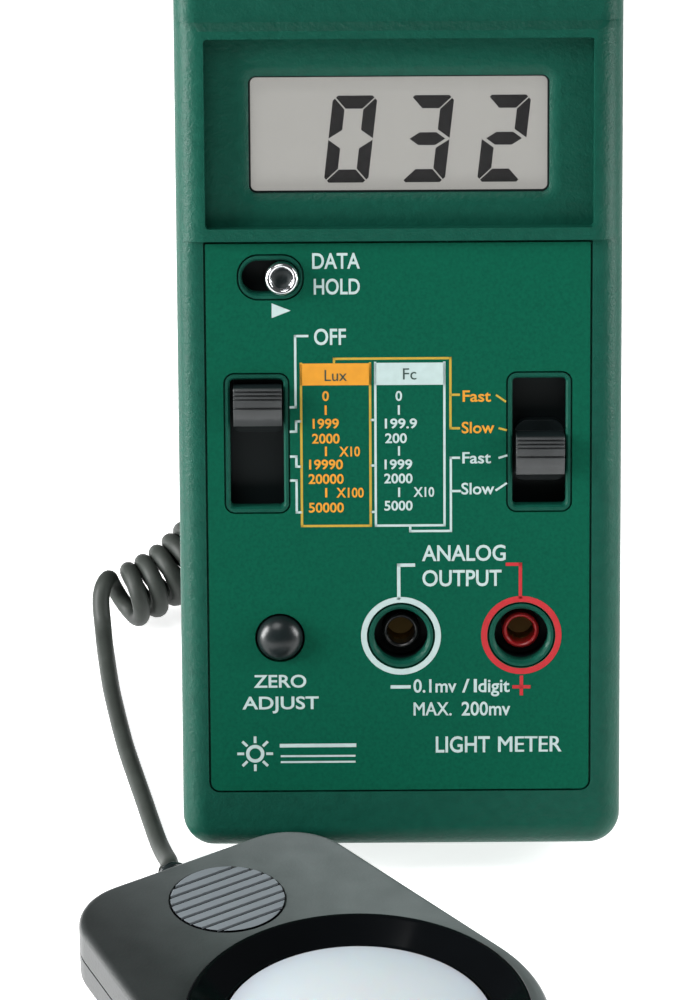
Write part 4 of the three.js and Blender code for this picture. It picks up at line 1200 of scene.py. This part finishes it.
def head_shells():
    height, wall, split = HEAD["height"], HEAD["wall"], HEAD["split"]
    low = split + GAP
    top = slab(head_outline, low, height, 0, 1.1, upright=True)
    cut(top, layered(head_outline, [(wall, low - 1), (wall, height - wall)], True))
    bosses = [post(x, y, 2.2, low, 8.6) for x, y in HEAD_SCREWS[:2]] + [block(23.4, 26, -2, 2, low, 7.1)]
    add(top, *bosses, post(*HEAD_SCREWS[2], 2.2, low, 7.1))
    cut(
        top, *[post(x, y, 0.95, low - 1, 6.6, 20) for x, y in HEAD_SCREWS], post(0, 0, 23.6, 0, 20, 128),
        post(THUMB["x"], 0, THUMB["radius"] + GAP, height - 0.9, 20, 64), boot_hole(),
    )
    head_piece(top, "sensor_top_shell", "head_grey", edge=0.1)
    base = slab(head_outline, 0, split, 1.6, 0, upright=True)
    cut(base, layered(head_outline, [(wall, wall), (wall, split + 1)], True))
    add(base, *[post(x, y, 2.9, 0.5, split) for x, y in HEAD_SCREWS])
    cut(
        base, *[post(x, y, 0.95, -1, 6, 20) for x, y in HEAD_SCREWS],
        *[post(x, y, 1.9, -1, 1.7, 32) for x, y in HEAD_SCREWS], boot_hole(),
    )
    head_piece(base, "sensor_bottom_shell", "head_grey", edge=0.1)


def diffuser():
    ring_profile = softened([
        (19.4, 8.2), (19.4, 8.68), (19.75, 8.75), (23.55, 10.9), (23.8, 11.0), (24.15, 11.0), (24.4, 10.8),
        (24.4, 10.3), (23.3, 10.3), (23.3, 7.4), (17, 7.4), (17, 8.2), (19.4, 8.2),
    ], 0.1, 2)
    ring_profile[-1] = ring_profile[0]
    head_piece(lathe(ring_profile, 160), "diffuser_ring", "gloss_black")
    radius, edge, crown = 19, 8.9, 11.8
    rise = crown - edge
    curve = (radius ** 2 + rise ** 2) / (2 * rise)
    profile = [(0, 8.5), (radius, 8.5), (radius, edge)]
    steps = 18
    for i in range(steps - 1, -1, -1):
        r = radius * i / steps
        profile.append((r, crown - curve + math.sqrt(curve ** 2 - r ** 2)))
    head_piece(lathe(profile, 160), "diffuser_dome", "diffuser_white", edge=0.15)


def thumb_pad():
    top = HEAD["height"] + 0.2
    pad = post(THUMB["x"], 0, THUMB["radius"], HEAD["height"] - 0.6, top, 96)
    pitch = 2 * THUMB["radius"] / THUMB["strips"]
    for i in range(1, THUMB["strips"]):
        x = THUMB["x"] - THUMB["radius"] + i * pitch
        half = THUMB["groove"] / 2
        cut(pad, block(x - half, x + half, -12, 12, top - 0.4, top + 1))
    pad_piece = head_piece(pad, "thumb_pad", "strip_grey", edge=0.05)
    paint(pad_piece, "gloss_black", lambda centre: centre.z < (top - 0.12) * MM)


def rear_boot():
    profile = [
        (1.6, -1.6), (2.9, -1.6), (2.9, -0.4), (2.4, -0.4), (2.4, 2.1), (3.4, 2.1), (3.4, 2.8), (2.8, 3.3),
    ]
    for rib in range(2):
        z = 3.5 + 1.15 * rib
        radius = 2.7 - 0.15 * rib
        profile += [(radius, z), (radius, z + 0.6), (radius - 0.3, z + 0.7), (radius - 0.3, z + 1.05)]
    profile += [(2.3, 5.8), (2.25, 6), (1.6, 6), (1.6, -1.6)]
    place = Matrix.Translation((HEAD["wall"] - HEAD["rear"], 0, 5)) @ Matrix.Rotation(-math.pi / 2, 4, "Y")
    return head_piece(moved(lathe(profile, 64), place), "sensor_strain_relief", "soft_black", edge=0.06)


# ---- CAD nodes that stay --------------------------------------------------------------------------------
KEPT = {
    "steel": ["case_screw_1", "case_screw_2", "case_screw_3", "case_screw_4", "stand_pin",
              "sensor_screw_1", "sensor_screw_2", "sensor_screw_3"],
    "clear_window": ["lcd_window"],
    "lcd_grey": ["lcd_glass"],
    "frame_white": ["lcd_holder"],
    "soft_black": ["zebra_strip_lower", "zebra_strip_upper", "battery_snap"],
    "board_green": ["main_pcb", "sensor_pcb"],
    "black_plastic": ["adc_chip", "opamp_chip", "filter_capacitor", "photodiode", "zero_pot_body",
                      "range_switch_body", "unit_switch_body", "hold_switch_body"],
    "battery_skin": ["battery"],
    "filter_green": ["optical_filter"],
}


def dress_kept_nodes():
    for look, names in KEPT.items():
        for name in names:
            node = frame["nodes"][name]
            node.data.materials.clear()
            node.data.materials.append(LOOKS[look])
            weld = node.modifiers.new("weld", "WELD")
            weld.merge_threshold = 1e-6
            bevel = node.modifiers.new("edges", "BEVEL")
            bevel.width = 0.08 * MM
            bevel.segments = 2
            bevel.limit_method = "ANGLE"
            bevel.angle_limit = EDGE_ANGLE


# ---- Stage ----------------------------------------------------------------------------------------------
def area_light(name, place, target, size, power):
    data = bpy.data.lights.new(name, "AREA")
    data.shape = "RECTANGLE"
    data.size, data.size_y = size
    data.energy = power
    light = linked(name, data)
    light.location = place
    light.rotation_euler = (Vector(target) - Vector(place)).to_track_quat("-Z", "Y").to_euler()


def add_stage():
    side = 3  # metres, as everything here is
    floor = block(-side, side, -side, side, -0.002, 0)
    floor.name = "floor"
    paper = surface("paper", (0.93, 0.93, 0.93), 0.8, mottle=(8, 0.003), grain=[(300, 0.001)])
    shader = paper.node_tree.nodes["Principled BSDF"]
    shader.inputs["Emission Color"].default_value = (1, 1, 1, 1)
    shader.inputs["Emission Strength"].default_value = 0.78
    floor.data.materials.append(paper)
    world = bpy.data.worlds.new("studio")
    world.use_nodes = True
    world.node_tree.nodes["Background"].inputs["Color"].default_value = (1, 1, 1, 1)
    world.node_tree.nodes["Background"].inputs["Strength"].default_value = 0.1
    bpy.context.scene.world = world
    bpy.context.scene.view_settings.view_transform = "Standard"
    centre = (0, 0, 0.09)
    area_light("left", (-0.62, -0.1, 0.26), centre, (0.26, 0.5), 10)
    area_light("top", (-0.25, -0.35, 1.0), centre, (0.5, 0.5), 4.2)
    area_light("right", (0.65, -0.1, 0.3), centre, (0.12, 0.5), 1.8)
    area_light("low_right", (0.15, -0.02, 0.09), (0.01, -0.05, 0), (0.08, 0.08), 0.16)


# ---- Build ----------------------------------------------------------------------------------------------
add_camera()
cord = add_cord()
boot = rear_boot()
front_shell()
rear_shell()
front_panel()
battery_door()
cord_gland()
tilt_stand()
slide_knob("range_switch_knob", RANGE_X, RANGE_REST, "range_knob")
slide_knob("unit_switch_knob", UNIT_X, UNIT_REST, "unit_knob")
hold_knob()
zero_knob()
jack("jack_negative", JACK_X[0], "jack_black")
jack("jack_positive", JACK_X[1], "jack_red")
display()
printing()
head_shells()
diffuser()
thumb_pad()
dress_kept_nodes()
add_stage()
